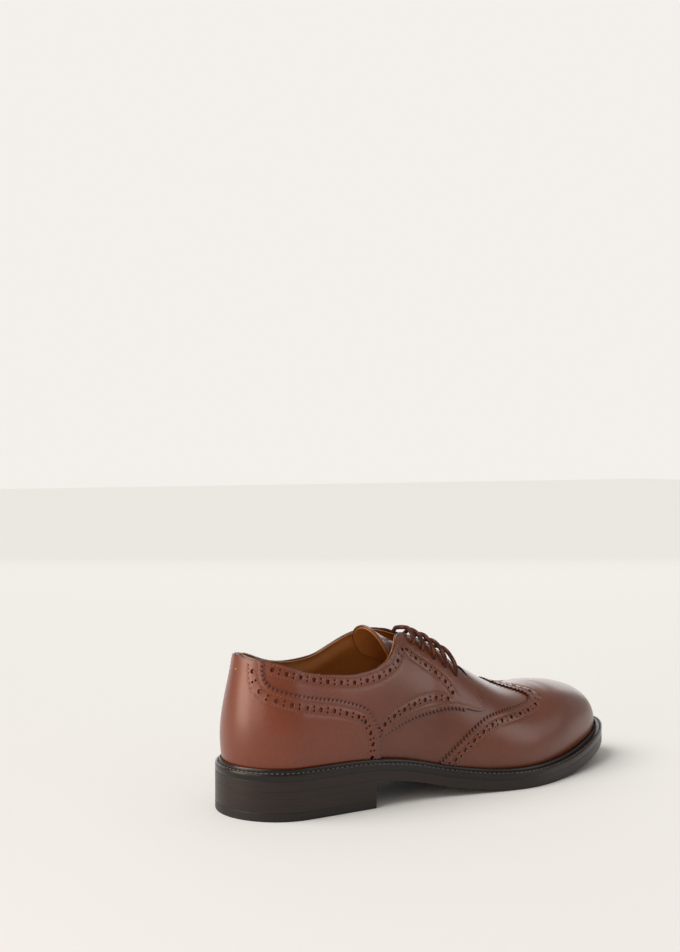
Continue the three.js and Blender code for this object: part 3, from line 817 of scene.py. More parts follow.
def faces_within(found, faces, loop, holes):
    """The triangles inside the outline and outside its holes, all turned the same way."""
    faces = np.array([f for f in faces if len(f) == 3])
    centres = found[faces].mean(axis=1)
    keep = inside(centres, loop)
    for cut_loop, _ in holes:
        near = np.abs(centres - cut_loop.mean(0)).max(axis=1) < HOLE_REACH
        pick = np.nonzero(near)[0]
        keep[pick[inside(centres[pick], cut_loop)]] = False
    faces = faces[keep]
    a, b, c = (found[faces[:, k]] for k in range(3))
    area = (b[:, 0] - a[:, 0]) * (c[:, 1] - a[:, 1]) - (b[:, 1] - a[:, 1]) * (c[:, 0] - a[:, 0])
    faces = faces[np.abs(area) > LEAST_AREA]
    area = area[np.abs(area) > LEAST_AREA]
    faces[area < 0] = faces[area < 0][:, ::-1]
    return faces


def cut_piece(name, loop, marks=(), seams=(), depth=0.0, thickness=UPPER, lattice=LATTICE):
    """Cuts a piece from the pattern, punches it, and wraps it over the last with its thickness."""
    points = [loop]
    lifts = [np.full(len(loop), -CUT_ROLL)]
    outline_ink_and_shade, tips = ink_and_shade_on(loop)
    inks_and_shades = [outline_ink_and_shade]
    edges = [(i, (i + 1) % len(loop)) for i in range(len(loop))]
    count = len(loop)
    holes = punch_rings(marks)
    for cut_loop, rim in holes:
        n = len(cut_loop)
        points += [cut_loop, rim]
        lifts += [np.full(n, -CUT_ROLL), np.full(n, PUNCH_RIM)]
        inks_and_shades += [np.full(n, PUNCH_INK_AND_SHADE), np.zeros(n)]
        edges += [(count + i, count + (i + 1) % n) for i in range(n)]
        count += 2 * n
    fixed = np.concatenate(points)
    taken = near_tree(fixed)

    def free(candidates, room):
        keep = inside(candidates, loop)
        keep &= np.array([taken.find((x, y, 0))[2] > room for x, y in candidates], bool)
        return keep

    extra = [fixed]
    extra_lifts = [np.concatenate(lifts)]
    # The middle of each tooth keeps the leather's own colour.
    cores = ((np.roll(loop, 1, axis=0) + np.roll(loop, -1, axis=0)) / 2)[tips]
    cores = cores[inside(cores, loop)]
    if len(cores):
        cores = cores[[taken.find((x, y, 0))[2] > CORE_ROOM for x, y in cores]]
        extra.append(cores)
        extra_lifts.append(np.full(len(cores), -CUT_ROLL / 2))
    if seams:
        guides, guide_lifts = groove_guides(seams)
        keep = free(guides, GUIDE_ROOM)
        extra.append(guides[keep])
        extra_lifts.append(guide_lifts[keep])
        taken = near_tree(np.concatenate(extra))
    field = lattice_over(loop, lattice)
    keep = free(field, lattice * LATTICE_ROOM)
    extra.append(field[keep])
    extra_lifts.append(np.zeros(int(keep.sum())))
    flat_points = np.concatenate(extra)
    lift = np.concatenate(extra_lifts)
    found, _, faces, origins, _, _ = delaunay_2d_cdt(
        [Vector(p) for p in flat_points.tolist()], edges, [], 0, 1e-5)
    found = np.array([tuple(v) for v in found])
    ink_and_shade = np.concatenate(inks_and_shades)
    ink_and_shade = np.array([ink_and_shade[o[0]] if o and o[0] < len(ink_and_shade) else 0.0 for o in origins])
    lift = np.array([lift[o[0]] if o else 0.0 for o in origins])
    faces = faces_within(found, faces, loop, holes)
    used = np.unique(faces)
    renumber = np.zeros(len(found), int)
    renumber[used] = np.arange(len(used))
    s, t, side = unflat(found[used])
    outer = depth(s, t, side) if callable(depth) else np.full(len(used), float(depth))
    body, _ = skin(s, t, side, outer + lift[used])
    obj = new_object(name, body, renumber[faces])
    # The darkening of the cut edges, edge dye and painted shade, goes to the material as a point
    # attribute.
    inked_and_shaded = obj.data.attributes.new("edge_ink_and_shade", "FLOAT", "POINT")
    inked_and_shaded.data.foreach_set("value", ink_and_shade[used])
    apply_modifier(obj, "SOLIDIFY", thickness=thickness * MM, offset=-1, use_even_offset=False,
                   material_offset_rim=1)
    smooth(obj, 40)
    return obj


def seam_stitches(name, seams, depth, material=None):
    """Stitches along seam lines, lying in their groove."""
    places, along, out = [], [], []
    for line, offset in seams:
        at = np.arange(1.0, line.length - 0.6, STITCH_PITCH)
        here = line.at(at, offset)
        ahead = line.at(at + 0.4, offset)
        s, t, side = unflat(here)
        outer = depth(s, t, side) if callable(depth) else depth
        body, up = skin(s, t, side, outer - GROOVE + STITCH_LIFT)
        following, _ = wrap(ahead, outer - GROOVE + STITCH_LIFT)
        places.append(body)
        along.append(following - body)
        out.append(up)
    return sew(name, np.concatenate(places), np.concatenate(along), np.concatenate(out),
               material or UPPER_THREAD)


def knots(pairs, side):
    pairs = np.array(pairs, float)
    return flat(pairs[:, 0], pairs[:, 1], side)


def foot_line(start, end, side, height=-0.012):
    """A line along the foot of the upper, just behind the welt's bead."""
    s = np.linspace(start, end, max(int(abs(end - start) * 160), 4))
    return flat(s, height, side)


def joined(*parts):
    """One closed loop from stretches that meet end to end."""
    points = np.concatenate(parts)
    step = np.hypot(*(points - np.roll(points, 1, axis=0)).T)
    return points[step > 0.05]


# The edge of each piece on the lateral side, as (place along, height) from foot to top.
WING_EDGE = [(0.495, -0.012), (0.515, 0.07), (0.54, 0.167), (0.58, 0.313), (0.614, 0.42),
             (0.658, 0.513), (0.708, 0.6), (0.74, 0.65), (0.757, 0.715), (0.752, 0.79),
             (0.73, 0.87), (0.674, 1.0)]
COUNTER_EDGE = [(0.358, -0.012), (0.36, 0.09), (0.36, 0.17), (0.35, 0.293), (0.33, 0.433),
                (0.28, 0.573), (0.234, 0.643), (0.172, 0.707), (0.126, 0.74), (0.1, 0.797),
                (0.09, 0.88), (0.088, 0.985)]
COLLAR = [(0.02, 0.995), (0.096, 0.995), (0.142, 0.99), (0.2, 0.933), (0.262, 0.867), (0.328, 0.78),
          (0.366, 0.743), (0.396, 0.765), (0.416, 0.84), (0.43, 0.93), (0.44, 0.965)]
FACING = [(0.44, 0.965), (0.452, 0.965), (0.47, 0.935), (0.5, 0.9), (0.54, 0.855), (0.57, 0.79),
          (0.596, 0.7), (0.606, 0.59), (0.612, 0.5)]
TAB = [(0.612, 0.5), (0.605, 0.466), (0.585, 0.445), (0.566, 0.433)]
QUARTER_LOWER = [(0.566, 0.433), (0.54, 0.41), (0.502, 0.363), (0.464, 0.327), (0.422, 0.283),
                 (0.4, 0.25), (0.372, 0.187), (0.35, 0.1), (0.33, -0.012)]
MEDIAL_COLLAR = [(0.02, 0.995), (0.096, 0.995), (0.142, 0.985), (0.2, 0.93), (0.25, 0.885),
                 (0.308, 0.875), (0.348, 0.9), (0.382, 0.93), (0.405, 0.955), (0.425, 0.965),
                 (0.44, 0.965)]
COLLAR_BAND = [(0.105, 0.925), (0.16, 0.905), (0.212, 0.862), (0.268, 0.793), (0.33, 0.7),
               (0.366, 0.662), (0.392, 0.67), (0.412, 0.7), (0.428, 0.76), (0.442, 0.81)]
MEDIAL_COLLAR_BAND = [(0.105, 0.925), (0.16, 0.9), (0.212, 0.85), (0.26, 0.81), (0.308, 0.8),
                      (0.348, 0.822), (0.382, 0.845), (0.405, 0.85), (0.428, 0.835), (0.442, 0.81)]
FACING_BAND = [(0.442, 0.81), (0.452, 0.75), (0.462, 0.707), (0.482, 0.653), (0.502, 0.61),
               (0.522, 0.572), (0.536, 0.53), (0.542, 0.475)]
LOWER_BAND = [(0.535, 0.45), (0.52, 0.443), (0.496, 0.427), (0.47, 0.407), (0.444, 0.386),
              (0.416, 0.355), (0.39, 0.315), (0.366, 0.25), (0.35, 0.17)]


def mirrored(side, lateral_line):
    """Lines run with the piece on their left. On the medial side they run the other way."""
    return lateral_line if side == LATERAL else lateral_line[::-1]


def brogue_band(lines, rows, margins):
    """Two rows of stitches along each line, and the punches that run midway between them."""
    seams = [(line, row) for line in lines for row in rows]
    marks = []
    for line, (first, last) in zip(lines, margins):
        marks += punches_along(line, sum(rows) / 2, first, last)
    return seams, marks


# Distances from the cut edge to the rows of stitches, and half widths of the quarter's bands.
WING_ROWS = (2.0, 7.4)
COUNTER_ROWS = (2.2, 8.4)
EDGE_ROW = 1.8
LOWER_ROW = 1.9
BAND_HALVES = {"collar_band": 3.2, "facing_band": 3.0, "lower_band": 3.0}
COUNTER_TOP = 0.988
COUNTER_DEPTH = UPPER + 0.05


def build_wing():
    lateral = Line(knots(WING_EDGE[::-1], LATERAL))
    medial = Line(knots(WING_EDGE, MEDIAL))
    loop = joined(
        foot_line(0.495, 1.0, LATERAL), foot_line(1.0, 0.495, MEDIAL)[1:],
        medial.pinked(), lateral.pinked()[1:])
    seams, marks = brogue_band((lateral, medial), WING_ROWS, ((6.0, 3.0), (3.0, 6.0)))
    wing = cut_piece("toe_cap_leather", loop, marks, seams)
    wear(wing, CALF, EDGE_INK)
    settle(wing, "bends", "upper_leather", "toe_cap")
    settle(seam_stitches("toe_cap_stitches", seams, 0.0), "bends", "upper_leather")


def build_counter():
    lateral = Line(knots(COUNTER_EDGE, LATERAL))
    medial = Line(knots(COUNTER_EDGE[::-1], MEDIAL))
    top_s = np.linspace(0.088, 0, 12)
    top = np.concatenate([flat(top_s, COUNTER_TOP, LATERAL),
                          flat(top_s[::-1], COUNTER_TOP, MEDIAL)[1:]])
    loop = joined(
        foot_line(0.358, 0, MEDIAL, 0.0), foot_line(0, 0.358, LATERAL, 0.0)[1:],
        lateral.pinked()[1:-1], top, medial.pinked()[1:-1])
    seams, marks = brogue_band((lateral, medial), COUNTER_ROWS, ((4.0, 5.0), (5.0, 4.0)))
    counter = cut_piece("counter_leather", loop, marks, seams, depth=COUNTER_DEPTH)
    wear(counter, CALF, EDGE_INK)
    settle(counter, "root", "upper_leather", "heel_counter")
    settle(seam_stitches("counter_stitches", seams, COUNTER_DEPTH), "root", "upper_leather")


def quarter_lines(side):
    def made(pairs):
        return Line(knots(mirrored(side, pairs), side))
    return {key: made(pairs) for key, pairs in (
        ("collar", (COLLAR if side == LATERAL else MEDIAL_COLLAR)[::-1]),
        ("facing", FACING[::-1]), ("tab", TAB[::-1]), ("lower", QUARTER_LOWER[::-1]),
        ("collar_band", (COLLAR_BAND if side == LATERAL else MEDIAL_COLLAR_BAND)[::-1]),
        ("facing_band", FACING_BAND[::-1]), ("lower_band", LOWER_BAND[::-1]))}


EYELET_ROWS = [(0.47, 0.82), (0.492, 0.76), (0.514, 0.715), (0.536, 0.685), (0.558, 0.665)]
HOLE_RADIUS = LACE / 2 + 0.15


def eyelet_marks(side, radius):
    """The eyelets' holes, as marks on a line through them."""
    line = Line(knots(EYELET_ROWS, side))
    nearest = [np.argmin(np.hypot(*(line.points - spot).T)) for spot in knots(EYELET_ROWS, side)]
    return [(line, line.run[k], 0.0, radius) for k in nearest]


def build_quarter(side, name):
    lines = quarter_lines(side)
    back = flat(0.02, np.linspace(0.995, -0.012, 8), side)
    lower = foot_line(0.02, 0.33, side)
    if side == LATERAL:
        loop = joined(lower, lines["lower"].pinked()[1:], lines["tab"].plain()[1:],
                      lines["facing"].plain()[1:], lines["collar"].plain()[1:], back[1:-1])
    else:
        loop = joined(back[::-1][1:-1], lines["collar"].plain(), lines["facing"].plain()[1:],
                      lines["tab"].plain()[1:], lines["lower"].pinked()[1:], lower[::-1][1:])
    seams = [(lines[key], EDGE_ROW) for key in ("collar", "facing", "tab")]
    seams.append((lines["lower"], LOWER_ROW))
    seams += [(lines[key], way * half) for key, half in BAND_HALVES.items() for way in (1, -1)]
    marks = []
    for key in BAND_HALVES:
        marks += punches_along(lines[key], 0.0, 3.0, 3.0)
    marks += eyelet_marks(side, HOLE_RADIUS)
    quarter = cut_piece(f"quarter_{name}_leather", loop, marks, seams)
    wear(quarter, CALF, EDGE_INK)
    settle(quarter, "root", "upper_leather", f"quarter_{name}")
    settle(seam_stitches(f"quarter_{name}_stitches", seams, 0.0), "root", "upper_leather")


vamp_back = through([0, 0.1, 0.2, 0.3, 0.36, 0.42, 0.48, 0.54, 0.62, 0.8, 1],
                    [0.325, 0.335, 0.35, 0.38, 0.42, 0.48, 0.54, 0.575, 0.592, 0.602, 0.604])
wing_back = through([0, 0.167, 0.313, 0.42, 0.513, 0.6, 0.64, 0.7, 0.78, 0.87, 1],
                    [0.495, 0.54, 0.58, 0.614, 0.658, 0.708, 0.737, 0.757, 0.752, 0.73, 0.674])


def cross_line(edge, shift, side, upwards):
    t = np.linspace(-0.012, 1, 50)
    points = flat(np.minimum(edge(t) + shift, TOE_FAN - 0.001), t, side)
    return points if upwards else points[::-1]


def build_vamp():
    loop = joined(
        foot_line(0.325, 0.555, LATERAL), cross_line(wing_back, 0.06, LATERAL, True)[1:],
        cross_line(wing_back, 0.06, MEDIAL, False)[1:], foot_line(0.555, 0.325, MEDIAL)[1:],
        cross_line(vamp_back, 0, MEDIAL, True)[1:], cross_line(vamp_back, 0, LATERAL, False)[1:-1])
    vamp = cut_piece("vamp_leather", loop, depth=-UPPER - 0.08)
    wear(vamp, CALF, EDGE_INK)
    settle(vamp, "bends", "upper_leather", "vamp")


lining_deep = -UPPER - 2 * SKIN_GAP - STIFFENER
lining_shallow = -2 * UPPER - 2 * SKIN_GAP
lining_outer = through([0, 0.2, 0.31, 0.38, 0.45, 0.65, 0.72, 0.79, 0.9, 1],
                       [lining_deep] * 3 + [lining_shallow] * 4 + [lining_deep] * 3)
FACING_TOP = ((0.47, 0.93), (0.5, 0.9), (0.54, 0.855), (0.57, 0.79), (0.596, 0.7))


def top_curve(collar):
    return through(*zip((0, 0.995), *collar[1:], *FACING_TOP))


quarter_tops = {LATERAL: top_curve(COLLAR), MEDIAL: top_curve(MEDIAL_COLLAR)}


def quarter_top(s, side):
    return by_side(side, quarter_tops[LATERAL](s), quarter_tops[MEDIAL](s))


def quarter_lining_depth(s, t, side):
    """The lining meets the leather at the collar and stands off where the stiffener lies."""
    away = np.clip((quarter_top(s, side) - t) / 0.16, 0, 1)
    ease = away * away * (3 - 2 * away)
    return -UPPER - 0.42 + (lining_outer(s) + UPPER + 0.42) * ease


def build_quarter_inside(side, name):
    """The lining, and the thin backing that shows through the punches."""
    s = np.linspace(0.005, 0.592, 110)
    foot = through([0, 0.44, 0.5, 0.56, 0.6], [0, 0, 0.12, 0.4, 0.5])
    top = flat(s, quarter_top(s, side) - 0.004, side)
    low = flat(s, np.maximum(foot(s), 0), side)
    lining_loop = joined(low, top[::-1])
    lining = cut_piece(f"quarter_lining_{name}_hide", lining_loop, depth=quarter_lining_depth,
                       thickness=0.8)
    wear(lining, TAN_HIDE, EDGE_INK)
    settle(lining, "root", "lining_leather", f"quarter_lining_{name}")
    s = np.linspace(0.03, 0.56, 100)
    low_edge = through([0, 0.33, 0.36, 0.372, 0.408, 0.464, 0.54, 0.57],
                       [0.05, 0.05, 0.17, 0.22, 0.29, 0.355, 0.435, 0.46])
    rise = flat(s, quarter_top(s, side) - 0.012, side)
    fall = flat(s, low_edge(s), side)
    backing = cut_piece(f"quarter_{name}_backing", joined(fall, rise[::-1]),
                        eyelet_marks(side, HOLE_RADIUS + 0.1), depth=-UPPER - 0.05, thickness=0.3)
    wear(backing, BACKING, BACKING)
    settle(backing, "root", "upper_leather")


def build_vamp_lining():
    back = through([0, 0.12, 0.4, 0.5, 0.7, 1], [0.466, 0.512, 0.571, 0.611, 0.62, 0.626])

    def depth(s, t, side):
        return lining_outer(s)

    loop = joined(
        foot_line(0.466, 1.0, LATERAL, 0.0), foot_line(1.0, 0.466, MEDIAL, 0.0)[1:],
        cross_line(back, 0, MEDIAL, True)[2:], cross_line(back, 0, LATERAL, False)[1:-2])
    lining = cut_piece("vamp_lining_hide", loop, depth=depth, thickness=LINING, lattice=3.2)
    wear(lining, TAN_HIDE, TAN_HIDE)
    settle(lining, "bends", "lining_leather", "vamp_lining")


# ---- Tongue and lace ---------------------------------------------------------------------------
TONGUE_ROOT = 0.608
UNDER_LACE = lining_shallow - LINING - LACE - 2 * SKIN_GAP
tongue_outer = through([0.395, 0.45, 0.565, 0.597, TONGUE_ROOT],
                       [UNDER_LACE, UNDER_LACE, UNDER_LACE, lining_shallow, lining_shallow])


# The free end stands up as an arch. It is given in heel-back millimetres, by its lateral foot,
# its crest and its medial foot.
TIP_REACH = (108.6, 98.6, 93.6)
TIP_HALF_WIDTH = 15.0
TIP_FOOT = 89.0
TIP_CREST = 106.6
TIP_SWEEP = math.radians(82)  # half the arc of the arch
FREE_FROM = 0.475  # the tongue leaves the instep here
FREE_START = 17.0  # how far it runs on along the instep before it curves up
TIP_ROUND = 0.42  # share of the free length that the round corners take
HELD_SHARE = 0.62  # share of the tongue's columns that lie on the instep


def tongue_surface(u, q):
    """The tongue's outer face. u is 0 at its root and 1 at its tip; q runs from -1 to 1 across."""
    side = np.where(q < 0, LATERAL, MEDIAL)
    t = 1 - 0.4 * np.abs(q)

    def on_instep(s):
        s = s * np.ones_like(q)
        return skin(s, t, side, tongue_outer(s), closed=True)[0]

    start = on_instep(FREE_FROM)
    onward = start - on_instep(FREE_FROM + 0.01)
    onward /= np.linalg.norm(onward, axis=-1, keepdims=True)
    lateral, crest, medial = TIP_REACH
    curve = (lateral + medial) / 2 - crest
    low = math.cos(TIP_SWEEP)
    tip = np.stack([
        crest + (medial - lateral) / 2 * q + curve * q ** 2,
        middle(crest) + TIP_HALF_WIDTH * np.sin(q * TIP_SWEEP) / math.sin(TIP_SWEEP),
        TIP_FOOT + (TIP_CREST - TIP_FOOT) * (np.cos(q * TIP_SWEEP) - low) / (1 - low)], axis=-1)
    w = np.clip((u - HELD_SHARE) / (1 - HELD_SHARE), 0, 1)[..., None]
    free = (1 - w) ** 2 * start + 2 * w * (1 - w) * (start + onward * FREE_START) + w * w * tip
    held = TONGUE_ROOT + (FREE_FROM - TONGUE_ROOT) * np.clip(u / HELD_SHARE, 0, 1)
    return np.where(w > 0, free, on_instep(held))


def tongue_sheet(name, inward, thickness, narrower, material, slot, node):
    """One layer of the tongue, with a round free end. inward is its depth under the outer face."""
    columns, rows = 90, 49
    q = (np.linspace(-1, 1, rows) * narrower)[None, :]
    corner = np.clip((np.abs(q) - 0.25) / 0.75, 0, 1)
    rounded = TIP_ROUND * (1 - np.sqrt(1 - 0.96 * corner ** 2))
    end = 1 - (1 - HELD_SHARE) * rounded - (1 - narrower) * 0.5
    u = end * np.linspace(0, 1, columns)[:, None]
    q = q * np.ones_like(u)
    step = 0.004
    points = tongue_surface(u, q)
    along = tongue_surface(np.minimum(u + step, 1), q) - tongue_surface(u - step, q)
    over = tongue_surface(u, np.minimum(q + step, 1)) - tongue_surface(u, np.maximum(q - step, -1))
    out = np.cross(over, along)
    out /= np.linalg.norm(out, axis=-1, keepdims=True)
    out *= np.sign(out[:, rows // 2, 2].mean())
    points = points - inward * out
    obj = new_object(name, points.reshape(-1, 3), [f[::-1] for f in grid_faces(columns, rows)])
    up = sum((Vector(p.normal) for p in obj.data.polygons), Vector())
    if up.z < 0:
        obj.data.flip_normals()
    apply_modifier(obj, "SOLIDIFY", thickness=thickness * MM, offset=-1, material_offset_rim=1)
    apply_modifier(obj, "BEVEL", width=0.25 * MM, segments=2, limit_method="ANGLE",
                   angle_limit=math.radians(50))
    smooth(obj, 40)
    wear(obj, material, EDGE_INK if material is CALF else material)
    settle(obj, "tongue", slot, node)


def build_tongue():
    tongue_sheet("tongue_leather", 0.0, UPPER, 1.0, CALF, "upper_leather", "tongue")
    tongue_sheet("tongue_lining_hide", UPPER + 0.1, LINING, 0.98, TAN_HIDE, "lining_leather",
                 "tongue_lining")


def lace_points():
    """The lace's route: a bar across each row and a short run under one facing between rows."""
    over = LACE / 2 + SKIN_GAP
    under = lining_shallow - LINING - over
    points = []

    def add(s, t, side, depth):
        points.append(skin(s, t, side, depth)[0])

    def drop(row, side, down):
        s, t = EYELET_ROWS[row]
        for depth in ((under + 1.5, -2.2, 0.2) if down else (0.2, -2.2, under + 1.5)):
            add(s, t, side, depth)

    first = len(EYELET_ROWS) - 1
    side = LATERAL
    add(EYELET_ROWS[first][0] - 0.012, EYELET_ROWS[first][1] - 0.05, side, under)
    for row in range(first, -1, -1):
        s, t = EYELET_ROWS[row]
        drop(row, side, True)
        for k in (0.16, 0.4, 0.7, 1):
            add(s, t + (1 - t) * k, side, over + 0.3)
        side = -side
        for k in (0.7, 0.4, 0.16):
            add(s, t + (1 - t) * k, side, over + 0.3)
        drop(row, side, False)
        if row > 0:
            s_next, t_next = EYELET_ROWS[row - 1]
            for k in (0.3, 0.7):
                add(s + (s_next - s) * k, t + (t_next - t) * k, side, under)
        else:
            add(s - 0.012, t - 0.03, side, under)
            add(s - 0.02, t - 0.06, side, under + 0.4)
    return np.array(points)


def smooth_path(points, step):
    """A path through points at an even step: centripetal, so it doesn't loop at tight turns."""
    gap = np.sqrt(np.linalg.norm(np.diff(points, axis=0), axis=1))
    knot = np.concatenate([[0], np.cumsum(gap)])
    fine = np.linspace(0, knot[-1], 3000)
    path = np.stack([through(knot, points[:, k])(fine) for k in range(3)], axis=-1)
    run = run_along(path)
    at = np.linspace(0, run[-1], int(run[-1] / step) + 1)
    return np.stack([np.interp(at, run, path[:, k]) for k in range(3)], axis=-1)


LACE_STEP = 0.9  # length of one ring of the tube
LACE_SIDES = 12


def build_lace():
    path = smooth_path(lace_points(), LACE_STEP)
    along = unit(np.gradient(path, axis=0))
    across = np.zeros_like(path)
    across[0] = unit(np.cross(along[0], (0, 0, 1)))
    for i in range(1, len(path)):
        across[i] = unit(across[i - 1] - along[i] * (across[i - 1] @ along[i]))
    up = np.cross(along, across)
    turn = 2 * math.pi * np.arange(LACE_SIDES) / LACE_SIDES
    ring = (np.cos(turn)[None, :, None] * across[:, None, :]
            + np.sin(turn)[None, :, None] * up[:, None, :])
    body = (path[:, None, :] + ring * LACE / 2).reshape(-1, 3)
    faces = grid_faces(len(path), LACE_SIDES, close_rows=True)
    faces.append(tuple(range(LACE_SIDES)))
    faces.append(tuple(reversed(range((len(path) - 1) * LACE_SIDES, len(path) * LACE_SIDES))))
    lace = new_object("lace_braid", body, faces)
    layer = lace.data.uv_layers.new(name="braid")
    for polygon in lace.data.polygons:
        for loop_index, vertex in zip(polygon.loop_indices, polygon.vertices):
            k = vertex % LACE_SIDES
            if k == 0 and polygon.index % LACE_SIDES == LACE_SIDES - 1:
                k = LACE_SIDES
            layer.data[loop_index].uv = (vertex // LACE_SIDES / len(path), k / LACE_SIDES)
    tidy_mesh(lace)
    wear(lace, LACE_COTTON)
    settle(lace, "root", "lace_cotton", "lace")


# ---- Sole and heel -----------------------------------------------------------------------------
def on_sole(s, side, r, z):
    x0 = spine_x(s)
    a = fan_angle(s)
    x = x0 - np.cos(a) * r
    return np.stack([x, middle(x0) + side * np.sin(a) * r, sole_under(x) + z], axis=-1)


EDGE_RUN = run_along(on_sole(S_TABLE, LATERAL, REACH[LATERAL], 0))  # along the lateral edge


def even_s(count, end=1.0):
    """Values of s at even steps along the sole's lateral edge."""
    last = np.interp(end, S_TABLE, EDGE_RUN)
    return np.interp(np.linspace(0, last, count), EDGE_RUN, S_TABLE)


def sole_slab(name, end, inset, low, high, columns=150, rows=14, bevel=0.5):
    """A layer of the sole up to section end. low and high give heights for x and sole height."""
    s = even_s(columns, end)
    k = np.linspace(-1, 1, 2 * rows + 1)
    k = np.sign(k) * np.abs(k) ** 0.8
    ss, kk = np.meshgrid(s, k, indexing="ij")
    side = np.where(kk < 0, LATERAL, MEDIAL).astype(float)
    r = np.abs(kk) * (reach(ss, side) - inset(ss, side))
    base = on_sole(ss, side, r, 0)
    sheets = []
    for level in (low, high):
        sheet = base.copy()
        sheet[..., 2] = level(base[..., 2])
        sheets.append(sheet.reshape(-1, 3))
    wide = len(k)
    count = columns * wide
    faces = [f[::-1] for f in grid_faces(columns, wide)]
    faces = faces + [tuple(v + count for v in f[::-1]) for f in faces]
    for i in range(columns - 1):
        for j, way in ((0, 1), (wide - 1, -1)):
            a, b = i * wide + j, (i + 1) * wide + j
            face = (a, b, b + count, a + count)
            faces.append(face if way > 0 else face[::-1])
    if end < 1:
        for j in range(wide - 1):
            a = (columns - 1) * wide + j
            faces.append((a, a + 1, a + 1 + count, a + count))
    obj = new_object(name, np.concatenate(sheets), faces)
    tidy_mesh(obj, merge=2e-6)
    apply_modifier(obj, "BEVEL", width=bevel * MM, segments=3, limit_method="ANGLE",
                   angle_limit=math.radians(50))
    smooth(obj, 40)
    return obj


def no_inset(s, side):
    return 0 * s


def build_outsole():
    outsole = sole_slab("outsole_leather", 1.0, no_inset, lambda z: z, lambda z: z + OUTSOLE + 0.1,
                        columns=220, bevel=0.18)
    wear(outsole, SOLE_EDGE)
    settle(outsole, "bends", "sole_leather", "outsole")


def build_heel():
    breast = float(place(HEEL_BLOCK))
    share = TOP_PIECE / HEEL_HEIGHT
    levels = [0.0, share, share + (1 - share) / 3, share + 2 * (1 - share) / 3, 1.0]
    for number in range(4):
        low, high = levels[number], levels[number + 1]
        bottom = 0.0 if number == 0 else 0.02
        name = "top_piece_rubber" if number == 0 else f"heel_lift_{4 - number}_leather"
        slab = sole_slab(name, breast, no_inset, lambda z, k=low, b=bottom: z * k + b,
                         lambda z, k=high: z * k, columns=90, bevel=0.3 if number == 0 else 0.05)
        wear(slab, HEEL_RUBBER if number == 0 else SOLE_EDGE)
        if number == 0:
            settle(slab, "root", "heel_rubber", "top_piece")
        else:
            settle(slab, "root", "sole_leather", f"heel_lift_{4 - number}")


def counter_share(s):
    """1 where the counter thickens the upper, 0 ahead of it."""
    k = np.clip((0.375 - s) / 0.03, 0, 1)
    return k * k * (3 - 2 * k)


# The welt's lip and stitched groove: distance in from its edge, and height over its top.
WELT_LIP = [(0.0, -0.7), (0.2, -0.2), (0.7, 0.0), (1.0, -0.1), (1.4, -0.5), (1.9, -0.5), (2.2, -0.05)]
LIP_POINT = 4  # the lip's crest and the bead's crown, as points of the whole profile
BEAD_POINTS = slice(10, 17)
LIP_NOTCH = 0.12
BEAD_NOTCH = 0.55
BEAD_HEIGHT = 2.2


def build_welt():
    """The storm welt: an edge, a stitched groove and a rounded bead against the upper."""
    s_half = even_s(420)
    s = np.concatenate([s_half, s_half[::-1][1:-1]])
    side = np.repeat([float(LATERAL), float(MEDIAL)], [len(s_half), len(s_half) - 2])
    foot = margin(s, side)
    bead = foot - 0.5 - (UPPER + 0.25) * counter_share(s)
    bottom = OUTSOLE + 0.12
    profile = [(0.1 + 0 * s, bottom), (0 * s, bottom + 0.12)]
    profile += [(inset + 0 * s, WELT_TOP + rise) for inset, rise in WELT_LIP]
    bead_outer = np.maximum(bead - 2.0, 2.3)
    for k in np.linspace(0, 1, 9):
        a = math.pi * k
        half = (bead - bead_outer) / 2
        rise = BEAD_HEIGHT * math.sin(a) ** 0.7
        profile.append((bead_outer + half * (1 - math.cos(a)), WELT_TOP + rise))
    profile += [(foot + 8.5, WELT_TOP), (foot + 8.5, bottom)]
    inset = np.stack([p[0] for p in profile], axis=1)
    height = np.array([p[1] for p in profile])
    across = reach(s, side)[:, None] - inset
    points = on_sole(s[:, None], side[:, None], across, height)
    # The edge wheel leaves a fine notch between stitches on the welt's outer lip.
    notched = np.arange(len(s)) % 2 == 1
    points[:, LIP_POINT, 2] -= np.where(notched, LIP_NOTCH, 0.0)
    # Round the forefoot the bead is wheeled with close notches.
    wheeled = np.clip((s - 0.56) / 0.08, 0, 1) * np.where(notched, BEAD_NOTCH, 0.0)
    points[:, BEAD_POINTS, 2] -= wheeled[:, None]
    faces = grid_faces(len(s), len(profile), close_columns=True, close_rows=True)
    welt = new_object("welt_leather", points.reshape(-1, 3), faces)
    tidy_mesh(welt, angle=50)
    wear(welt, WELT_HIDE)
    settle(welt, "bends", "welt_leather", "welt")
    build_welt_stitches()


WELT_STITCH_PITCH = 3.3
WELT_STITCH_LENGTH = 2.5
WELT_THREAD_RADIUS = 0.42
WELT_STITCH_INSET = 1.65  # from the welt's edge to its groove
WELT_STITCH_HEIGHT = WELT_TOP - 0.22


def build_welt_stitches():
    places, along = [], []
    for side in (LATERAL, MEDIAL):
        at = np.arange(WELT_STITCH_PITCH / 2, EDGE_RUN[-1], WELT_STITCH_PITCH)
        here, there = (on_sole(s, side, reach(s, side) - WELT_STITCH_INSET, WELT_STITCH_HEIGHT)
                       for s in (np.interp(at + ahead, EDGE_RUN, S_TABLE) for ahead in (0, 0.5)))
        places.append(here)
        along.append(there - here)
    places = np.concatenate(places)
    along = np.concatenate(along)
    keep = np.linalg.norm(along, axis=1) > 0.05
    places, along = places[keep], along[keep]
    out = np.tile([0.0, 0.0, 1.0], (len(places), 1))
    stitches = sew("welt_stitches", places, along, out, WELT_THREAD, WELT_STITCH_LENGTH,
                   WELT_THREAD_RADIUS)
    settle(stitches, "bends", "welt_leather")


